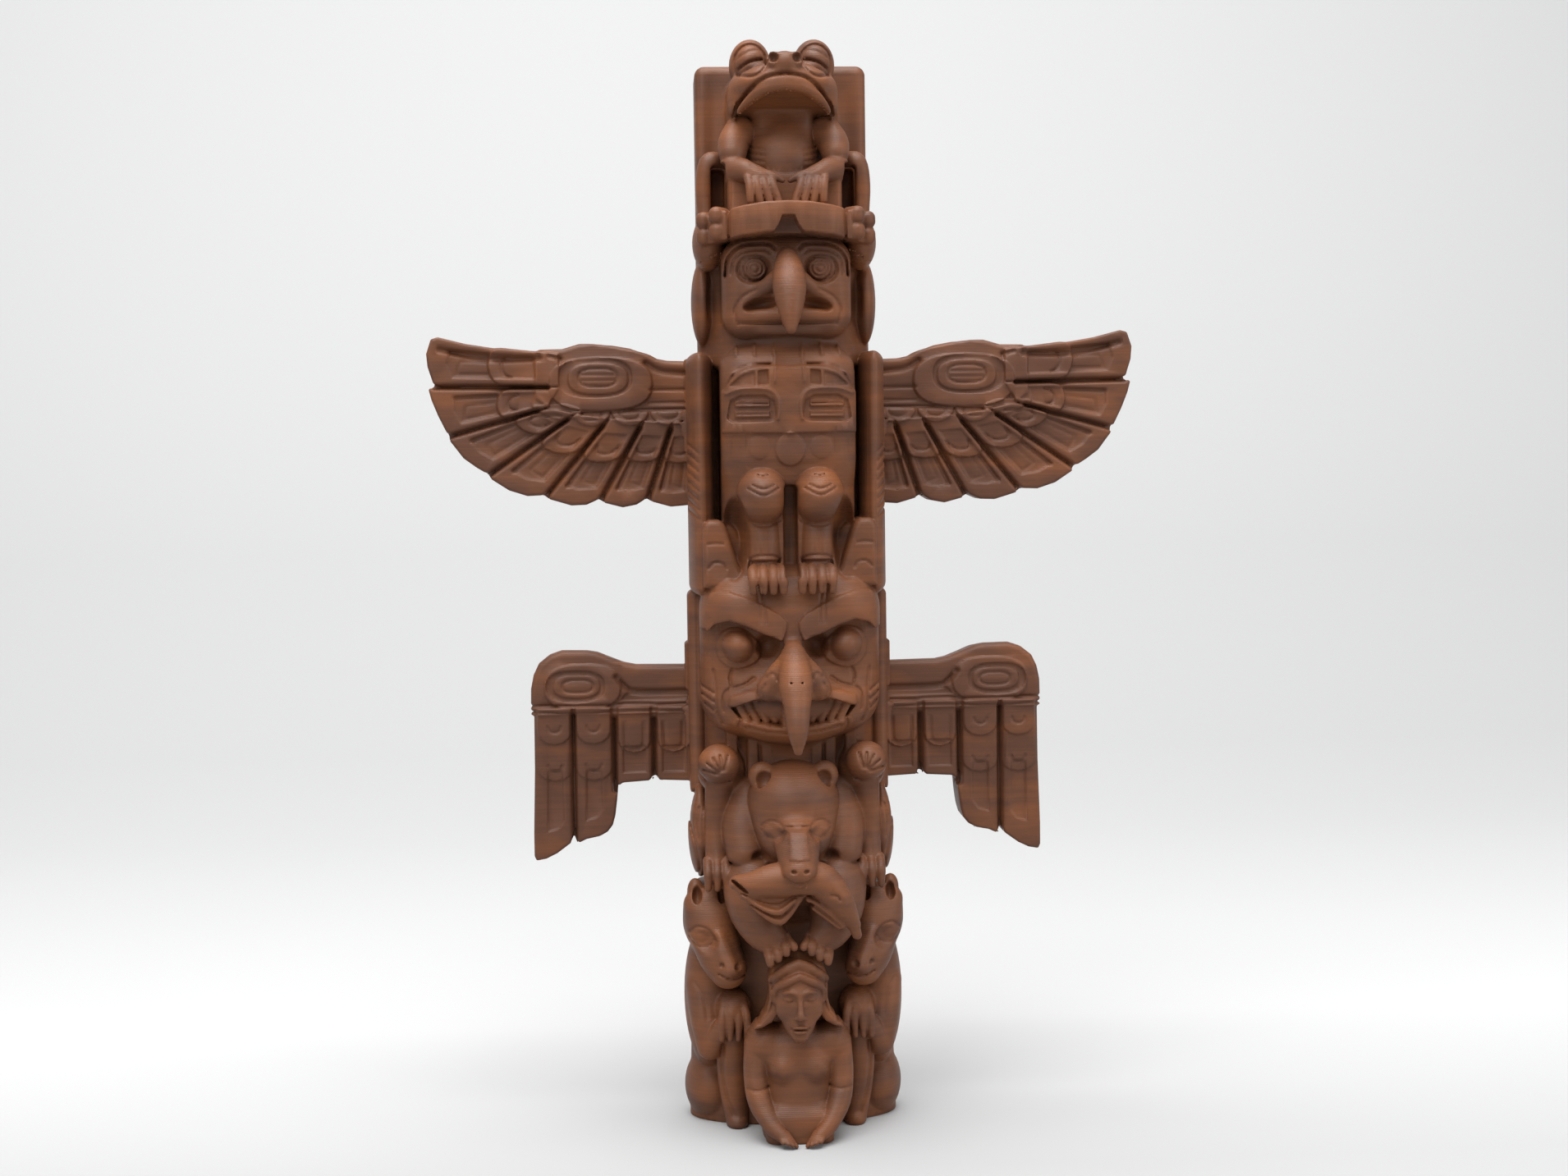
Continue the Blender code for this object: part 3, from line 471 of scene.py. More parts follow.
etch([(7, 84.6), (8.8, 83.4), (11.8, 82.4), (12.8, 80.6), (12.5, 78.6)], 0.45, 0.28, start=6)
etch([(10.9, 86.2), (11.4, 84.6), (11.2, 83.2)], 0.5, 0.26, start=4)
etch([(14.3, 86), (14, 82.6), (13.9, 78.6), (12.6, 76.2)], 0.4, 0.28, start=2)
for outer, inner, rise in ((16.4, 14.4, 81.8), (16.2, 14.4, 80.2), (15.8, 14.5, 78.6)):
    etch([(inner, rise), (outer, rise + 1)], 0.45, start=-2, smooth=False)
lid = [(13.7, 90.6), (12.7, 92.9), (9.8, 93.8), (7, 92), (5.6, 89.6), (6.8, 87.4), (10.4, 86.3), (13.2, 88)]
sink(lid, -0.5, 0.35, start=3, smooth=True)
add(ball((9.8, 7.4, 90.4), (3.1, 4.6, 3.4), roll=-12), 0.15)
nose = [(-1, 91.2), (0.9, 90.8), (2.2, 88.4), (4, 85.8), (6.2, 83.8), (6.6, 82.2), (5.6, 81.2), (3.2, 80.8),
    (-1, 80.8)]
add(part_of(ball((0, 4.4, 82.4), (9, 12, 10.6)), nose, rounding=1), 0.5)
add(ball((4.7, 13.4, 82.8), (1.7, 2.2, 1.8)), 0.8)
add(limb([(0, 11, 91), (0, 14.6, 88.6), (0, 18, 84.4), (0, 20.6, 80.4), (0, 22.1, 76.4), (0, 22.3, 72.8)],
    [1.1, 2.3, 3.1, 2.4, 1.9, 0.8]), 1)
add(limb([(0, 14.4, 84.4), (0, 16.8, 78.6)], [2.8, 1.8]), 0.8)
add(limb([(1, 13.2, 88.4), (2.9, 14.2, 85.6), (4.5, 13.4, 83.2)], [1.3, 2.1, 1.9]), 1.2)
cut(ball((1, 21.2, 84.7), (0.28, 0.8, 0.2)), 0.1)
etch([(5.4, 81.6), (5.9, 82.8), (5.2, 84)], 0.3, 0.24, start=10)
etch([(3.2, 84.8), (3.9, 86), (5, 85.2)], 0.3, 0.24, start=10)
for across in (5.0, 5.9):
    etch([(across + 0.6, 101.6), (across, 97.6), (across - 0.1, 94.8)], 0.35, 0.24, start=6)
band = [(17.2, 99.2), (14.4, 100.4), (11.3, 100.4), (7.4, 99.1), (4.5, 97.5), (2.2, 96.2), (1, 94.8),
    (1.2, 93.2), (2, 91.4), (5, 92.6), (8.3, 94.2), (11.3, 95.2), (14, 94.5), (15.2, 93.1), (18, 92.9)]
sink(band, -0.75, 0.3, start=8.8)
cut(ball((10.4, 10.5, 110), (2.9, 8.4, 7.8)), 0.6)
ear = [(15.9, 101), (15.9, 111.6), (15.5, 112.8), (14.6, 113.3), (12.9, 113.3), (12, 112.7), (11.4, 111.4),
    (10.1, 107.2), (7.9, 101)]
ear_inside = [(12.6, 101), (12.2, 112.2), (10.7, 112.4), (9.5, 111.4), (6.5, 103.6), (6.2, 101)]
add(board(ear_inside, -3, 3.6, rounding=1))
add(board(ear, -3, 8.2, rounding=1.1), 0.2)
etch([(12.2, 109), (13.4, 109.1), (15, 109)], 0.35, start=6)
etch([(14.9, 104.6), (13.8, 105.6), (12.3, 105.4), (11.7, 104.4)], 0.35, start=6)
add(block((17.2, -6.2, 80.6), (1.5, 3.6, 19.4), rounding=1.4), 0.4)
for across in (4.6, 7.2, 11.0):
    add(block((across, 1.6, 69), (1, 2.6, 9), rounding=0.4), 0.2)

# The lower bird's legs stand on the wolves' heads, with a leaf of feathers outside each.
add(ball((13.6, 6.2, 68.5), (3.8, 4.2, 3.7)), 0.5)
add(ball((13, 1.8, 66.8), (4.4, 5.5, 4.8)), 0.8)
for turn in spaced(5, 15, 105):
    c, s = cos(radians(turn)), sin(radians(turn))
    etch([(12.9 + c, 66.9 + s), (12.9 + 3.6 * c, 66.9 + 3.6 * s)], 0.5, 0.24, start=6, smooth=False)
etch([(11.6, 65.4), (13, 64.9), (15.6, 65.3), (17, 66.4)], 0.5, start=4)
add(limb([(13.6, 4.6, 65), (14, 3.6, 57), (14.2, 5, 49.6)], [2.5, 2.3, 2.1]))
for across in spaced(3, 12.5, 15.9):
    add(limb([(across, 5.8, 50.6), (across, 8.2, 48.8), (across, 8.4, 45.9)], [0.9, 0.9, 0.6]), 0.15)
add(ball((17, -1.6, 54.9), (2.3, 5.4, 8.6)), 0.4)
for line in ([(17.9, 62.4), (18.9, 58), (18.2, 54), (17.2, 49), (17.6, 47)],
             [(17.2, 60), (17.9, 57), (17.4, 54)]):
    etch(line, 0.4, 0.26, start=-6)

# The upper bird's head, with side lobes, ringed eyes under double brow lines, a plain beak and a slab of
# lower lip.
add(drum((0, -1.6, 145), (13.2, 9.6), 4, rounding=1), 1)
add(block((0, 2.4, 155.2), (11.7, 8.6, 9.2), rounding=4.4), 0.5)
add(ball((0, 1.8, 161), (11.2, 9.2, 5)), 1)
add(ball((15, -2.8, 153), (2.1, 5.4, 7.9)), 0.4)
cut(ball((13.4, 3, 153), (1, 3.4, 6.4)), 0.4)
add(drum((0, -3.4, 158), (12.2, 8), 6, rounding=2), 0.5)
cut(ball((6.2, 14, 158.2), (4.1, 5.6, 3.2), roll=-8), 0.3)
add(ball((6, 9, 158.5), (2.9, 2.4, 2.8)), 0.15)
for size in (0.75, 1.45, 2.15):
    ring = arc((5.8, 158.3), (size, size * 0.95), 13, 2 * pi)[:-1]
    etch(ring, 0.42, 0.22, start=8.6, closed=True)
etch([(11, 157.2), (10.5, 160.4), (8, 162.5), (3.6, 162.8), (2.2, 161.8)], 0.75, 0.3, start=5)
etch([(10, 157.4), (9.6, 159.9), (7.7, 161.4), (4.2, 161.7), (3, 161)], 0.45, start=5)
add(limb([(1.8, 12.2, 156.6), (4.8, 10.9, 154.6), (9.2, 8.4, 152.6)], [1.6, 1.25, 1.1]), 0.8)
cut(ball((4.9, 13.4, 151.9), (3.8, 5, 1.5), roll=-12), 0.25)
add(limb([(-0.5, 10.4, 150), (4.6, 10, 149.9), (8.3, 8.8, 149.7)], [1.3, 1.3, 1.1]))
add(limb([(-0.5, 9.6, 147.8), (5, 8.9, 147.8), (8.6, 7.2, 148.2)], [1.3, 1.3, 1.2]), 0.4)
etch([(-0.5, 148.7), (5, 148.6), (8.6, 148.7)], 0.6, 0.26, start=6)
etch([(8.9, 148.4), (9.6, 150.8), (8.2, 153.2), (5.6, 154.6)], 0.4, 0.28, start=6)
add(limb([(0, 9.6, 161.6), (0, 12.8, 158.8), (0, 15.6, 154.8), (0, 17.4, 150.8), (0, 18.6, 147.2)],
    [1, 2.4, 3, 2.2, 1]), 0.5)
add(limb([(0, 10.4, 157.4), (0, 12.2, 153), (0, 13.6, 148.6)], [1.8, 2.3, 1.3]), 0.6)

# The headband with its notch and toe lumps, and the frog on top of it in front of the slab.
arch = [(-2, 169.9), (4, 169.7), (8, 169.2), (12, 168.4), (17, 167), (17, 162.2), (12, 163.2), (8, 163.9),
    (4, 164.3), (-2, 164.5)]
add(part_of(drum((0, 2.4, 166.5), (15.9, 14), 5, rounding=0.5), arch), 0.2)
notch = [(-3.5, 163.4), (3.5, 163.4), (1.9, 165.4), (1.1, 167.3), (-1.1, 167.3), (-1.9, 165.4)]
cut(board(notch, 12.2, 20, rounding=0.1), 0.15)
etch([(10.5, 170), (10.5, 164)], 0.7, 0.35, start=6, smooth=False)
add(ball((13.9, 2.2, 163.6), (2.9, 6, 5)), 0.5)
for across, out, drop in ((12.0, 10.2, 0.4), (14.2, 7.2, 1.0)):
    for rise in (165.2, 168.1):
        add(block((across, out, rise - drop), (1.35, 2.4, 1.6), rounding=1.25, swing=-34), 0.15)
add(block((0, 0.6, 189.4), (10, 7.8, 5.4), rounding=4.4), 0.8)
add(block((0, -2, 186), (10.1, 5.4, 4.5), rounding=3.2), 0.8)
add(ball((0, 5.4, 191.3), (8.9, 8.6, 4.4)), 1)
add(limb([(0, 4, 194.4), (0, 8.6, 194.4), (0, 12, 194.4)], [3.4, 2.7, 2.1]), 1)
add(ball((2.2, 12, 195), (1.5, 1.7, 1.4)), 0.8)
cut(ball((2.15, 13.6, 195.2), (0.95, 2, 0.95)), 0.25)
cut(block((0, 9, 183.4), (8.6, 8.4, 5.4), rounding=0.3, lean=-19), 0.15)
add(limb([(-0.5, 13, 190.5), (3, 12.4, 190.1), (5.8, 10.4, 188.7), (8.2, 7, 186.9)], [1.1, 1.1, 1, 0.7]))
add(block((0, 0.8, 172), (10.3, 7.2, 4), rounding=1.2), 0.2)
add(ball((0, -0.4, 177.8), (7.1, 8.4, 9.4)))
add(block((0, -0.8, 181.2), (5.6, 5.2, 7.2), rounding=2.4), 1.2)
add(ball((0, -3, 182), (10, 6, 7)), 1)
add(limb([(7.8, 1.8, 183.6), (9, 3.8, 181.4), (9.3, 5.2, 179.4)], [3, 2.9, 2.5]), 0.2)
add(ball((9.2, 5.6, 176.6), (2.7, 2.9, 2.7)), 0.1)
add(limb([(9.2, 6, 176.4), (7, 8.8, 175.8), (4.6, 10.2, 174.6)], [2.4, 2.1, 1.7]))
for across, tip in ((2.5, 1.5), (3.9, 3.1), (5.3, 4.8), (6.6, 6.5)):
    add(limb([(across + 0.3, 10.4, 174.8), (across, 12, 173), (tip, 12.4, 170.1)], [0.85, 0.8, 0.7]), 0.08)
add(limb([(4.4, 10.6, 175.2), (2.4, 11, 174.7), (0.7, 10.8, 173.9)], [0.9, 0.75, 0.5]), 0.2)
add(limb([(14.2, 1.6, 168), (14.4, 1.8, 174), (13.5, 1.8, 178), (11.8, 0.4, 178.4)], [1.5, 1.6, 1.9, 1.9]),
    0.4)
cut(block((11.9, 1, 173), (1.35, 7, 4.6), rounding=0.8), 0.4)
etch([(-0.5, 192.4), (3, 191.9), (5.8, 190.4), (8.2, 187.9), (8.9, 186.4)], 0.9, 0.32, start=3)
add(ball((5.8, 1.8, 195.6), (3.8, 5.8, 4.7)), 0.4)
rim = arc((5.9, 195.5), (2.8, 3.3), 17, 2 * pi)[:-1]
etch(rim, 0.55, 0.3, start=4.4, closed=True)
for low_end, top_end, depth in ((194.2, 196.0, 0.8), (196.2, 197.8, 0.28), (193.0, 194.6, 0.25)):
    etch([(8.3, low_end), (6.2, (low_end + top_end) / 2 + 0.3), (3.9, top_end)], depth, 0.22, start=5.2)
for rise in spaced(5, 175.5, 180):
    etch([(3.6, rise), (5.4, rise + 0.5), (6.4, rise + 1.2)], 0.2, 0.2, start=3)

# The upper wings. A rounded shoulder with an oval joint carries seven fanned feathers, each with a round
# covert over a sunk blade.
WING_BACK = -14.8
WING_FACE = -7.0
wing_line = partial(etch, start=WING_FACE - 2.4, stop=WING_FACE + 3)
wing_sink = partial(sink, start=WING_FACE - 2.4, stop=WING_FACE + 3)
slits = [((44, 144.9), (65.6, 147.5)), ((44, 138.1), (64.9, 138.4)), ((45.8, 133.8), (62.5, 129.2)),
    ((40.4, 132.1), (55.4, 121.8)), ((33.9, 130.8), (44.7, 117.8)), ((27, 130.3), (34.4, 117)),
    ((21.2, 129.9), (25.6, 117)), ((16.4, 130), (17.4, 116))]
edge = [(15, 142.2), (21.7, 142.4), (23.7, 142.8), (25.8, 144), (28.5, 145.2), (31.9, 145.8), (35.3, 146),
    (38, 145.7), (41.1, 144.8), (47.3, 144.7), (52.3, 145.3), (59.1, 146.4), (64.2, 147.7), (65.5, 147.3),
    (66.4, 144.6), (66.2, 142.2), (65.1, 138.7), (66.1, 138), (65.6, 136), (64.5, 133.2), (62.6, 129.3),
    (62.6, 128.7), (59.9, 125.1), (57.6, 123.4), (55.5, 122.1), (55.1, 121.3), (51.6, 119), (48.2, 117.9),
    (45.2, 118), (44.3, 117.3), (40, 116), (37.2, 116.1), (34.9, 117.1), (33.8, 116.4), (30.4, 115.5),
    (27.8, 116), (26, 117.1), (24.9, 116.5), (21.4, 115.5), (15, 116)]
add(board(edge, WING_BACK, WING_FACE), 0.1)


def on_feather(index, share, along):
    """A point on one feather: share across it from its upper slit, and along it from root to tip."""
    (ax, az), (bx, bz) = slits[index]
    (cx, cz), (dx, dz) = slits[index + 1]
    upper = (ax + (bx - ax) * along, az + (bz - az) * along)
    lower = (cx + (dx - cx) * along, cz + (dz - cz) * along)
    return (upper[0] + (lower[0] - upper[0]) * share, upper[1] + (lower[1] - upper[1]) * share)


def rounded_end(index, inset, start, shoulder, tip, steps=7):
    """An outline down one feather that ends in a round tip."""
    made = [on_feather(index, 1 - inset, start), on_feather(index, inset, start)]
    for turn in spaced(steps, -pi / 2, pi / 2):
        share = 0.5 + (0.5 - inset) * sin(turn)
        made.append(on_feather(index, share, shoulder + (tip - shoulder) * cos(turn)))
    return made


covert_ends = [(0.40, 0.52), (0.33, 0.46), (0.22, 0.36), (0.30, 0.47), (0.34, 0.50), (0.36, 0.47),
    (0.36, 0.47)]
for index, (shoulder, tip) in enumerate(covert_ends):
    blade = [on_feather(index, *at) for at in ((0.2, 0.1), (0.2, 0.84), (0.5, 0.88), (0.8, 0.84),
        (0.78, 0.1))]
    wing_sink(blade, 0.45, 0.5)
    wing_line([on_feather(index, 0.24, t) for t in (tip, 0.7, 0.85)], 0.4, 0.35)
    inner = [on_feather(index, *at) for at in ((0.42, tip), (0.44, 0.76), (0.72, 0.8), (0.7, tip))]
    wing_line(inner, 0.22, 0.28, smooth=False)
    wing_sink(rounded_end(index, 0.05, -0.1, shoulder, tip), -0.95)
    wing_line(rounded_end(index, 0.24, 0, shoulder - 0.08, tip - 0.12)[2:], 0.35, 0.28)
    if index > 0:
        wing_line([slits[index][0], slits[index][1]], 1.6, 0.42, smooth=False)
wing_sink([(15, 142.4), (44, 147.6), (46.5, 144), (46.2, 136), (41, 132.6), (15, 130.6)], -0.45, 0.5)
for across in (21.5, 28.7, 35.9):
    scale = arc((across, 133.6), (3.5, -2.9), 9)
    wing_sink(scale, -0.55, 0.35)
    inner = arc((across, 133.2), (1.9, -1.3), 7)
    wing_line(inner, 0.28, 0.26)
wing_sink([(37.8, 133.8), (41.6, 135), (46.8, 134.6), (44, 132.8), (41, 131.9), (38.6, 132.6)], -0.5, 0.35,
    smooth=True)


def oval(centre, halves, power=2.6, steps=24):
    """A squarish oval outline."""
    made = []
    for turn in spaced(steps + 1, 0, 2 * pi)[:-1]:
        c, s = cos(turn), sin(turn)
        made.append((centre[0] + halves[0] * copysign(abs(c) ** (2 / power), c),
            centre[1] + halves[1] * copysign(abs(s) ** (2 / power), s)))
    return made


wing_sink(oval((34.1, 138.6), (9.6, 5)), -0.75)
wing_sink(oval((35.1, 139.8), (6.9, 3.7)), 0.55)
wing_sink(oval((34.6, 139.6), (5.6, 2.9)), -0.5, 0.3)
wing_line(oval((34.6, 139.8), (3.6, 1.7), steps=16), 0.35, 0.26, closed=True)
for rise in (139.3, 140.3):
    wing_line([(31.6, rise), (37.6, rise)], 0.25, 0.22, smooth=False)
wing_line([(63.8, 145.4), (58, 144), (52, 143.4), (45.4, 143.6)], 0.9, 0.55)
wing_line([(43.6, 143.9), (41.6, 143.4)], 0.6, 0.4)
wing_line([(25.6, 142.4), (22.6, 140.9), (17, 140.4)], 0.8, 0.5)
for rise in (137.4, 135.0):
    wing_line([(25, rise), (17, rise)], 0.35, 0.3, smooth=False)
wing_line([(46.2, 132.8), (40.2, 132.9), (26, 133.6), (17, 133.6)], 0.5, 0.35)

# The lower wings. Square shoulders with an oval joint, then two long columns of feathers outside and two
# short ones inside.
edge = [(16, 85), (28.6, 85.2), (31, 85.7), (33.5, 86.7), (35.9, 87.7), (37.7, 88), (42.3, 88.1),
    (44.4, 87.4), (46.3, 85.9), (47.2, 84), (47.7, 81.6), (47.8, 77.6), (47.9, 66.2), (48.3, 53.8),
    (48.3, 49.8), (47.9, 48.9), (46.1, 49.2), (44, 50.2), (41.4, 52.1), (40.8, 53.4), (40.3, 51.9),
    (38.4, 52.8), (35.9, 53.3), (34.4, 54.1), (33.4, 55.4), (32.9, 57.2), (32.5, 60.2), (32.3, 62.7),
    (31.4, 63.4), (26.5, 63.7), (25.2, 64.5), (24.5, 63.8), (16, 63.4)]
add(board(edge, WING_BACK, WING_FACE), 0.1)
columns = [(40.6, 47.4, 0), (33.2, 40.2, 0), (25.7, 32.3, 1), (18.4, 24.9, 1)]
for inner, outer, short in columns:
    middle = (inner + outer) / 2
    half = (outer - inner) / 2
    for low, lift, share in ([(69.1, 0.7, 0.92)] if short else [(64.0, 0.45, 0.98), (71.0, 0.5, 0.92)]):
        tongue = [(middle + half * share, 78), (middle - half * share, 78)]
        tongue += [(middle - half * share * cos(a), low + 2.6 * (1 - sin(a))) for a in spaced(7, 0, pi)]
        wing_sink(tongue, -lift)
    if short:
        for share in (0.5, 0.62):
            bow = [(middle - half * share * cos(a), 71.4 - share * 3 * sin(a)) for a in spaced(7, 0, pi)]
            wing_line([(middle - half * share, 75)] + bow + [(middle + half * share, 75)], 0.25, 0.24,
                smooth=False)
        wing_sink([(inner + 1.1, 65.4), (inner + 1.1, 70.5), (outer - 1.1, 70.5), (outer - 1.1, 65.4)], 0.4)
    else:
        for low, wide in ((66.2, 0.42), (73.6, 0.36)):
            bow = [(middle - half * wide * cos(a), low + 0.9 - 1.2 * sin(a)) for a in spaced(7, 0, pi)]
            wing_line(bow, 0.3)
        foot = 54.4 if inner > 40 else 56.4
        wing_sink([(middle - half * 0.4, 66), (middle - half * 0.42, foot + 2.2),
            (middle - half * 0.1, foot + 0.6), (middle + half * 0.48, foot), (middle + half * 0.42, 66)],
            0.4, 0.5)
for across, low, high in ((40.55, 51, 76.4), (32.8, 62, 75.6), (25.3, 62, 75.4)):
    wing_line([(across, high), (across, low)], 1.6, 0.42, smooth=False)
wing_sink([(16, 76.6), (48.6, 76.6), (48.6, 90), (16, 90)], -0.6)
wing_line([(48, 77.3), (40, 76.9), (33, 77.1), (27, 77.2), (17, 76.9)], 0.5, 0.32)
wing_line([(48, 78.4), (36, 78.3), (31.4, 78.4)], 0.4, 0.28)
wing_line([(31, 78.6), (26, 78.5), (24, 78.2), (17, 78.4)], 0.35, 0.28)
wing_line([(32.2, 83.6), (30.4, 81.6), (28, 80.8), (17, 80.7)], 0.9, 0.5)
wing_sink([(16, 79), (16, 80.4), (30.4, 80.5), (31.6, 79.2)], 0.45)
wing_sink(oval((38.6, 81.9), (7.2, 4.3)), -0.5)
wing_sink(oval((39.9, 82), (5.5, 3)), 0.5, 0.35)
wing_sink(oval((39.7, 82), (4.4, 2.2)), -0.4, 0.3)
wing_line(oval((39.5, 82), (2.9, 1.2), steps=16), 0.35, 0.24, closed=True)

# The left half, and the fish that lies across the bear's jaws with its tail down to the right. Its folded
# fins hang under it.
for first, half in list(zip(clay.firsts, clay.blocks)):
    last = 1 - first[0] - half.shape[0]
    keep = half.shape[0] - (1 if first[0] == 0 else 0)
    clay.firsts.append(np.array([last, first[1], first[2]]))
    clay.blocks.append(np.ascontiguousarray(half[::-1][:keep]))
add(board([(-10.4, 46.8), (-7, 43.6), (-3.4, 40.9), (-1.4, 42.6), (1.2, 46.4), (-2, 48)], 16.4, 19.8,
    rounding=0.8), 0.5)
add(board([(2.4, 46.6), (8.4, 41.4), (8.2, 40.2), (7, 40), (2.2, 43.8)], 16.4, 19.4, rounding=0.7), 0.4)
add(limb([(-11, 17.6, 48.7), (-8.2, 18.4, 48.5), (-4.5, 18.7, 49.1), (0, 18.6, 49.4), (4.2, 18.8, 48.7),
    (7.4, 18.8, 44.9), (9.8, 18, 40.8)], [1.4, 2.3, 3.1, 3.3, 3.2, 2.5, 1.3]))
add(limb([(9.7, 18, 41), (10.4, 17.9, 38.8)], [1.1, 0.9]))
add(limb([(-10.8, 18, 47.9), (-9.7, 18.9, 46.9), (-8.2, 19.2, 46.2)], [0.7, 0.8, 0.7]))
cut(ball((-10.7, 19.6, 48.4), (2.1, 2.6, 0.42), roll=-36), 0.1)
for fold in ([(-10.0, 18.6, 46.4), (-6.6, 19.8, 44.4), (-3.6, 20.2, 43.7), (-0.8, 20.0, 45.8)],
             [(-8.8, 18.4, 45.2), (-5.8, 19.4, 43.0), (-3.4, 19.6, 41.9), (-1.4, 19.4, 43.6)],
             [(1.6, 19.6, 45.8), (4.6, 19.4, 43.8), (7.6, 18.8, 40.8)]):
    add(limb(fold, [0.5, 0.65, 0.65, 0.4][:len(fold)]), 0.15)
for line in ([(-10.2, 47.0), (-6.6, 45.4), (-3.6, 45.0), (-0.4, 46.6), (2.6, 46.4)],
             [(-9.6, 45.6), (-6.2, 43.7), (-3.5, 42.9), (-1.0, 44.8)],
             [(2.0, 45.0), (4.6, 43.0), (7.2, 40.6)],
             [(5.6, 46.8), (6.6, 46.6), (7.2, 45.8)]):
    etch(line, 0.45, start=15)

# The flat underside, and the surface of the clay as one mesh, thinned where it is plain.
MILLIMETRE = 0.001
MOST_TRIANGLES = 190000
SHARP_ANGLE = radians(55)


def shown(name, data):
    made = bpy.data.objects.new(name, data)
    bpy.context.scene.collection.objects.link(made)
    return made


for first, cells in zip(clay.firsts, clay.blocks):
    up = CELL * (first[2] + np.arange(cells.shape[2], dtype=np.float32))
    np.maximum(cells, -up, out=cells)
    np.clip(cells, -BAND, BAND, out=cells)
skin = openvdb.FloatGrid(BAND)
for first, cells in zip(clay.firsts, clay.blocks):
    skin.copyFromArray(cells, ijk=tuple(int(i) for i in first), tolerance=0.001)
points, triangles, quads = skin.convertToPolygons(isovalue=0.0, adaptivity=0.0)
points = points * np.array([CELL, -CELL, CELL]) * MILLIMETRE
corners = np.concatenate([triangles.ravel(), quads.ravel()])
sizes = np.concatenate([np.full(len(triangles), 3), np.full(len(quads), 4)])
surface = bpy.data.meshes.new("totem_pole_print")
surface.vertices.add(len(points))
surface.vertices.foreach_set("co", points.astype(np.float32).ravel())
surface.loops.add(len(corners))
surface.loops.foreach_set("vertex_index", corners.astype(np.int32))
surface.polygons.add(len(sizes))
surface.polygons.foreach_set("loop_start", (np.cumsum(sizes) - sizes).astype(np.int32))
surface.update(calc_edges=True)
surface.validate()
dense = shown("dense", surface)
thin = dense.modifiers.new("thin", 'DECIMATE')
thin.ratio = min(1.0, MOST_TRIANGLES / (len(triangles) + 2 * len(quads)))
view = bpy.context.evaluated_depsgraph_get()
carved = bpy.data.meshes.new_from_object(dense.evaluated_get(view))
carved.name = "totem_pole_print"
totem = shown("totem_pole_print", carved)
bpy.data.objects.remove(dense, do_unlink=True)
carved.shade_smooth()
carved.set_sharp_from_angle(angle=SHARP_ANGLE)
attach(totem, "root")
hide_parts("totem_pole")

# The plastic. Matte brown print plastic that turns from grey brown to orange brown over wide patches and
# shifts a little from layer to layer, with painted shade that darkens the wings out to the sides. The
# layers are a bump that is strongest where the surface is shallow.
LAYER_HEIGHT = 0.00031
LAYER_WOBBLE = 0.00012
WING_PAINTED_SHADE = 0.12
PLASTIC_COLOURS = [(0.34, (0.092, 0.037, 0.020, 1)), (0.70, (0.170, 0.058, 0.021, 1))]
plastic = bpy.data.materials.new("printed plastic")
plastic.use_nodes = True


def node(tree, kind, *values, settings=None, **inputs):
    """A new node. Each input is a value, or the node and the output that feed it."""
    made = tree.nodes.new(kind)
    for name, value in (settings or {}).items():
        setattr(made, name, value)
    named = {name.replace("_", " "): value for name, value in inputs.items()}
    for key, value in [*enumerate(values), *named.items()]:
        if isinstance(value, tuple) and isinstance(value[0], bpy.types.Node):
            tree.links.new(value[0].outputs[value[1]], made.inputs[key])
        else:
            made.inputs[key].default_value = value
    return made


def maths(tree, operation, *values):
    return node(tree, "ShaderNodeMath", *values, settings={"operation": operation})


def socket(tree, name, way, kind='Float'):
    return tree.interface.new_socket(name, in_out=way, socket_type='NodeSocket' + kind).identifier


lines = bpy.data.node_groups.new("layer lines", 'ShaderNodeTree')
socket(lines, "Layer height", 'INPUT')
socket(lines, "Bead", 'OUTPUT')
socket(lines, "Tone", 'OUTPUT')
given = node(lines, "NodeGroupInput")
place = node(lines, "ShaderNodeTexCoord")
parts = node(lines, "ShaderNodeSeparateXYZ", (place, "Object"))
wobble = node(lines, "ShaderNodeTexNoise", Vector=(place, "Object"), Scale=160.0, Detail=2.0)
bend = maths(lines, 'MULTIPLY_ADD', (wobble, 0), LAYER_WOBBLE, (parts, "Z"))
layer = maths(lines, 'DIVIDE', (bend, 0), (given, "Layer height"))
turn = maths(lines, 'MULTIPLY', (layer, 0), pi)
wave = maths(lines, 'SINE', (turn, 0))
bead = maths(lines, 'ABSOLUTE', (wave, 0))
whole = maths(lines, 'FLOOR', (layer, 0))
tone = node(lines, "ShaderNodeTexWhiteNoise", settings={"noise_dimensions": '1D'}, W=(whole, 0))
node(lines, "NodeGroupOutput", Bead=(bead, 0), Tone=(tone, "Value"))

tree = plastic.node_tree
tree.nodes.clear()
layers = node(tree, "ShaderNodeGroup", settings={"node_tree": lines}, Layer_height=LAYER_HEIGHT)
place = node(tree, "ShaderNodeTexCoord")
stretch = node(tree, "ShaderNodeMapping", Vector=(place, "Object"), Scale=(1.0, 1.0, 3.5))
patches = node(tree, "ShaderNodeTexNoise", Vector=(stretch, 0), Scale=60.0, Detail=3.0, Roughness=0.55)
across = node(tree, "ShaderNodeSeparateXYZ", (place, "Object"))
away = maths(tree, 'ABSOLUTE', (across, "X"))
# Painted shade: from 17 to 26 mm out to the sides the colour slides towards grey brown, which darkens the
# wings.
wing_painted_shade = node(tree, "ShaderNodeMapRange", Value=(away, 0), From_Min=0.017, From_Max=0.026, To_Min=0.0,
    To_Max=WING_PAINTED_SHADE)
mottle_and_wing_shade = maths(tree, 'SUBTRACT', (patches, 0), (wing_painted_shade, 0))
ramp = node(tree, "ShaderNodeValToRGB", (mottle_and_wing_shade, 0))
for stop, (position, colour) in zip(ramp.color_ramp.elements, PLASTIC_COLOURS):
    stop.position = position
    stop.color = colour
dim = node(tree, "ShaderNodeMapRange", Value=(layers, "Tone"), To_Min=0.94, To_Max=1.05)
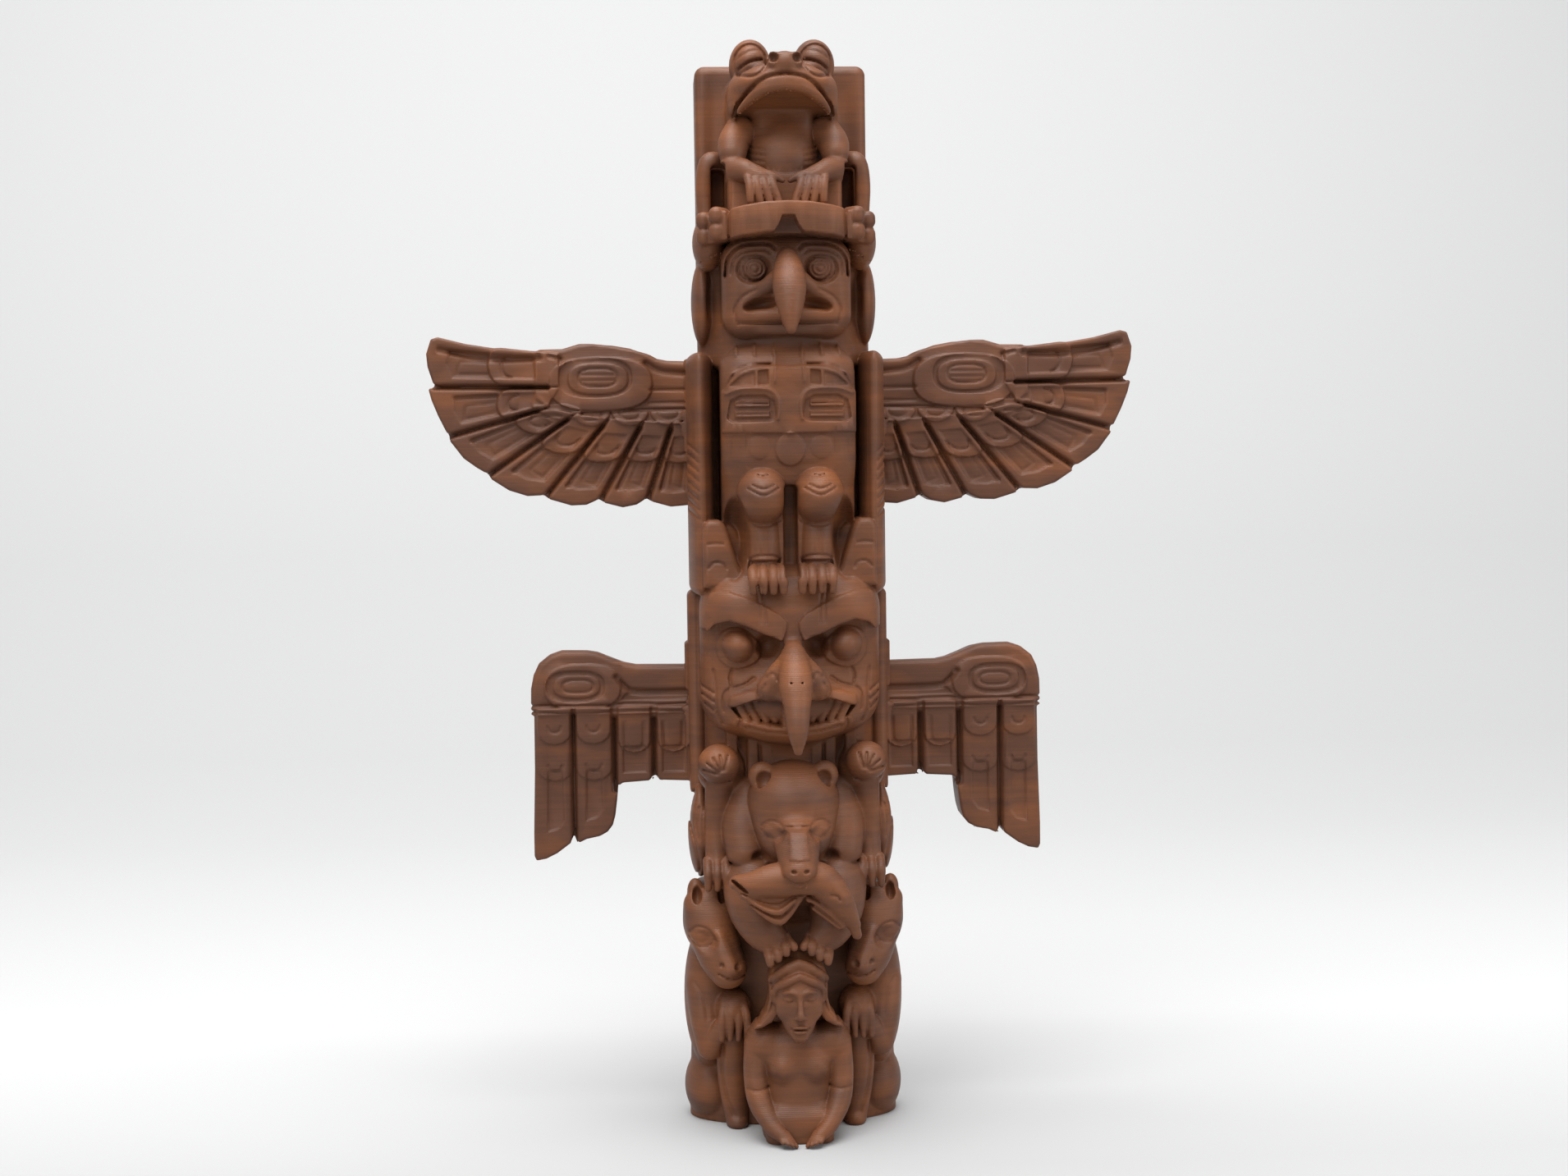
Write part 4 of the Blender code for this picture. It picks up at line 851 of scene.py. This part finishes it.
shade = node(tree, "ShaderNodeVectorMath", (ramp, 0), settings={"operation": 'SCALE'}, Scale=(dim, 0))
facing = node(tree, "ShaderNodeNewGeometry")
slope = node(tree, "ShaderNodeSeparateXYZ", (facing, "Normal"))
steep = maths(tree, 'ABSOLUTE', (slope, "Z"))
strength = node(tree, "ShaderNodeMapRange", Value=(steep, 0), From_Min=0.08, From_Max=0.75, To_Min=0.10,
    To_Max=0.48)
bump = node(tree, "ShaderNodeBump", Height=(layers, "Bead"), Strength=(strength, 0), Distance=0.00006)
grit = node(tree, "ShaderNodeTexNoise", Vector=(place, "Object"), Scale=2400.0, Detail=2.0)
rough = node(tree, "ShaderNodeBump", Height=(grit, 0), Normal=(bump, 0), Strength=0.25, Distance=0.00004)
skin_shader = node(tree, "ShaderNodeBsdfPrincipled", Base_Color=(shade, 0), Normal=(rough, 0),
    Roughness=0.5, Specular_IOR_Level=0.25)
node(tree, "ShaderNodeOutputMaterial", Surface=(skin_shader, 0))
totem.data.materials.clear()
totem.data.materials.append(plastic)

# The scars of snapped-off supports: small ragged stubs along the frog's jaw, under the headband's toe
# lumps, under the feather ends and at the fish's tail.
STUB_SPACING = 0.00075
STUB_SIZE = 0.00022
STUB_SCATTER = 0.00016
scar_paths = [[(0, 13.6, 189.6), (3, 13.0, 189.2), (5.8, 11.0, 187.8), (8.0, 7.8, 186.2)],
    [(10.8, 11.6, 163.8), (13.0, 9.6, 163.7), (15.4, 7.0, 163.8)],
    [(11.2, 9.4, 161.6), (13.6, 7.6, 160.8), (15.4, 5.0, 160.2)],
    [(18, -8, 116.1), (21.4, -8, 115.8), (25.4, -8, 117.3), (30.4, -8, 115.8), (34.4, -8, 117.3),
    (39, -8, 116.4), (44.6, -8, 118.2), (51.6, -8, 119.4), (55.3, -8, 122.2)],
    [(47.9, -8, 49.6), (46.1, -8, 49.6), (44, -8, 50.6), (41.2, -8, 52.7)],
    [(40.2, -8, 52.4), (38.4, -8, 53.2), (35.9, -8, 53.7), (34.4, -8, 54.7)],
    [(31.2, -8, 63.8), (26.5, -8, 64.1), (20, -8, 63.9)], [(2.0, 22.6, 48.9), (0, 23.0, 48.6)]]
scar_paths += [[(-x, out, z) for x, out, z in path] for path in scar_paths]
scar_paths.append([(9.8, 18.6, 40.2), (10.5, 18.6, 38.8)])
stubs = bpy.data.node_groups.new("support scars", 'GeometryNodeTree')
socket(stubs, "Geometry", 'OUTPUT', 'Geometry')
socket(stubs, "Paths", 'INPUT', 'Geometry')
sizes = {"Spacing": STUB_SPACING, "Stub size": STUB_SIZE, "Scatter": STUB_SCATTER, "Seed": 7}
keys = {}
for name in sizes:
    keys[name] = socket(stubs, name, 'INPUT', 'Int' if name == "Seed" else 'Float')
given = node(stubs, "NodeGroupInput")
curves = node(stubs, "GeometryNodeMeshToCurve", (given, "Paths"))
dots = node(stubs, "GeometryNodeCurveToPoints", (curves, 0), settings={"mode": 'LENGTH'},
    Length=(given, "Spacing"))
jitter = node(stubs, "FunctionNodeRandomValue", settings={"data_type": 'FLOAT_VECTOR'}, Min=(-1, -1, -1),
    Seed=(given, "Seed"))
spread = node(stubs, "ShaderNodeVectorMath", (jitter, 0), settings={"operation": 'SCALE'},
    Scale=(given, "Scatter"))
moved = node(stubs, "GeometryNodeSetPosition", (dots, "Points"), Offset=(spread, 0))
stub = node(stubs, "GeometryNodeMeshCone", Vertices=5, Radius_Top=0.3, Radius_Bottom=0.8, Depth=1.7)
turning = node(stubs, "FunctionNodeRandomValue", settings={"data_type": 'FLOAT_VECTOR'},
    Max=(6.3, 6.3, 6.3), Seed=(given, "Seed"))
growth = node(stubs, "FunctionNodeRandomValue", Seed=(given, "Seed"))
growth.inputs[2].default_value = 0.45
growth.inputs[3].default_value = 1.3
grown = maths(stubs, 'MULTIPLY', (growth, 1), (given, "Stub size"))
placed = node(stubs, "GeometryNodeInstanceOnPoints", Points=(moved, 0), Instance=(stub, 0),
    Rotation=(turning, 0), Scale=(grown, 0))
real = node(stubs, "GeometryNodeRealizeInstances", (placed, 0))
dressed = node(stubs, "GeometryNodeSetMaterial", (real, 0), Material=plastic)
node(stubs, "NodeGroupOutput", (dressed, 0))
corners = []
edges = []
for path in scar_paths:
    edges += [(len(corners) + n, len(corners) + n + 1) for n in range(len(path) - 1)]
    corners += [(x * MILLIMETRE, -out * MILLIMETRE, z * MILLIMETRE) for x, out, z in path]
guide = bpy.data.meshes.new("scar paths")
guide.from_pydata(corners, edges, [])
tracks = shown("scar paths", guide)
growing = tracks.modifiers.new("scars", 'NODES')
growing.node_group = stubs
for name, value in sizes.items():
    growing[keys[name]] = value
view = bpy.context.evaluated_depsgraph_get()
ragged = bpy.data.meshes.new_from_object(tracks.evaluated_get(view))
ragged.name = "support_scars"
scars = shown("support_scars", ragged)
bpy.data.objects.remove(tracks, do_unlink=True)
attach(scars, "root")

# The backdrop: white paper that runs back from under the model and curves up, with no edge in view. Its
# grey
# is painted light and shade by depth: darker in front, lighter just behind the model where the wings'
# shadow falls.
PAPER_WIDTH = 3.0
PAPER_FRONT = -0.9
BEND_START = 0.30
BEND_RADIUS = 0.60
PAPER_TOP = 1.60
# Painted light and shade on the paper: greys at depths in metres, lifted behind the model against the
# wings' shadow.
paper_painted_light = [(-0.03, 0.345), (0.07, 0.437), (0.2, 0.406), (0.42, 0.372), (0.6, 0.385), (0.86, 0.46)]
profile = [(PAPER_FRONT, 0.0), (0.0, 0.0)]
for turn in spaced(25, 0, pi / 2):
    profile.append((BEND_START + BEND_RADIUS * sin(turn), BEND_RADIUS * (1 - cos(turn))))
profile.append((BEND_START + BEND_RADIUS, PAPER_TOP))
sheet = bpy.data.meshes.new("backdrop")
sheet.from_pydata([(side, y, z) for y, z in profile for side in (-PAPER_WIDTH / 2, PAPER_WIDTH / 2)], [],
    [(2 * n, 2 * n + 1, 2 * n + 3, 2 * n + 2) for n in range(len(profile) - 1)])
sheet.shade_smooth()
backdrop = shown("backdrop", sheet)
paper = bpy.data.materials.new("white paper with painted light")
paper.use_nodes = True
where = node(paper.node_tree, "ShaderNodeTexCoord")
depth = node(paper.node_tree, "ShaderNodeSeparateXYZ", (where, "Object"))
span = node(paper.node_tree, "ShaderNodeMapRange", Value=(depth, "Y"), From_Min=-0.1, From_Max=0.9)
paper_light_ramp = node(paper.node_tree, "ShaderNodeValToRGB", (span, 0))
for y, grey in paper_painted_light:
    stop = paper_light_ramp.color_ramp.elements.new(y + 0.1)
    stop.color = (grey, grey, grey, 1)
paper_light_ramp.color_ramp.elements.remove(paper_light_ramp.color_ramp.elements[-1])
paper_light_ramp.color_ramp.elements.remove(paper_light_ramp.color_ramp.elements[0])
matte = paper.node_tree.nodes["Principled BSDF"]
matte.inputs["Roughness"].default_value = 0.9
paper.node_tree.links.new(paper_light_ramp.outputs[0], matte.inputs["Base Color"])
sheet.materials.append(paper)
scene = bpy.context.scene
backdrop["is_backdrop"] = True

# The light: a large soft lamp overhead and in front, a softer one from the right, and a dim even room.
room = bpy.data.worlds.new("room")
room.use_nodes = True
glow = room.node_tree.nodes["Background"]
glow.inputs["Color"].default_value = (0.93, 0.94, 0.96, 1)
glow.inputs["Strength"].default_value = 0.53
scene.world = room
for name, spot, aim, size, power in (("top lamp", (-0.1, -0.27, 0.95), (0, 0.02, 0.08), 0.9, 16.0),
                                     ("backdrop lamp", (0.0, 0.1, 1.2), (0, 0.6, 0.15), 0.9, 9.4),
                                     ("front lamp", (-0.5, -0.9, 0.55), (0, 0, 0.1), 0.5, 2.4),
                                     ("right lamp", (0.8, -0.45, 0.4), (0, 0, 0.1), 0.4, 2.4)):
    lamp = bpy.data.lights.new(name, 'AREA')
    lamp.energy = power
    lamp.size = size
    holder = shown(name, lamp)
    holder.location = spot
    holder.rotation_euler = (Vector(aim) - Vector(spot)).to_track_quat('-Z', 'Y').to_euler()

# The camera, level with the upper bird's legs and a little to the left, looking slightly down.
DISTANCE = 0.400
EYE_HEIGHT = 0.125608
EYE_SHIFT = -0.0007586
LENS = 49.55
SENSOR = 36
yaw = radians(-3.5)
pitch = radians(3.62416)
roll = radians(-0.8)
ahead = Vector((-sin(yaw) * cos(pitch), cos(yaw) * cos(pitch), -sin(pitch)))
side = Vector((cos(yaw), sin(yaw), 0))
top = side.cross(ahead)
right = cos(roll) * side + sin(roll) * top
above = -sin(roll) * side + cos(roll) * top
eye = Vector((DISTANCE * sin(yaw), -DISTANCE * cos(yaw), EYE_HEIGHT)) + side * EYE_SHIFT
lens = bpy.data.cameras.new("camera")
lens.sensor_width = SENSOR
lens.lens = LENS
camera = shown("camera", lens)
camera.matrix_world = Matrix([(*row, place) for row, place in zip(zip(right, above, -ahead), eye)]).to_4x4()
scene.camera = camera
scene.view_settings.view_transform = 'Standard'

# The CAD box and the dressed model's box, kept side by side.
boxes = {"cad": cad_box, "visual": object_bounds()}
{name: [list(map(float, corner)) for corner in box] for name, box in boxes.items()}
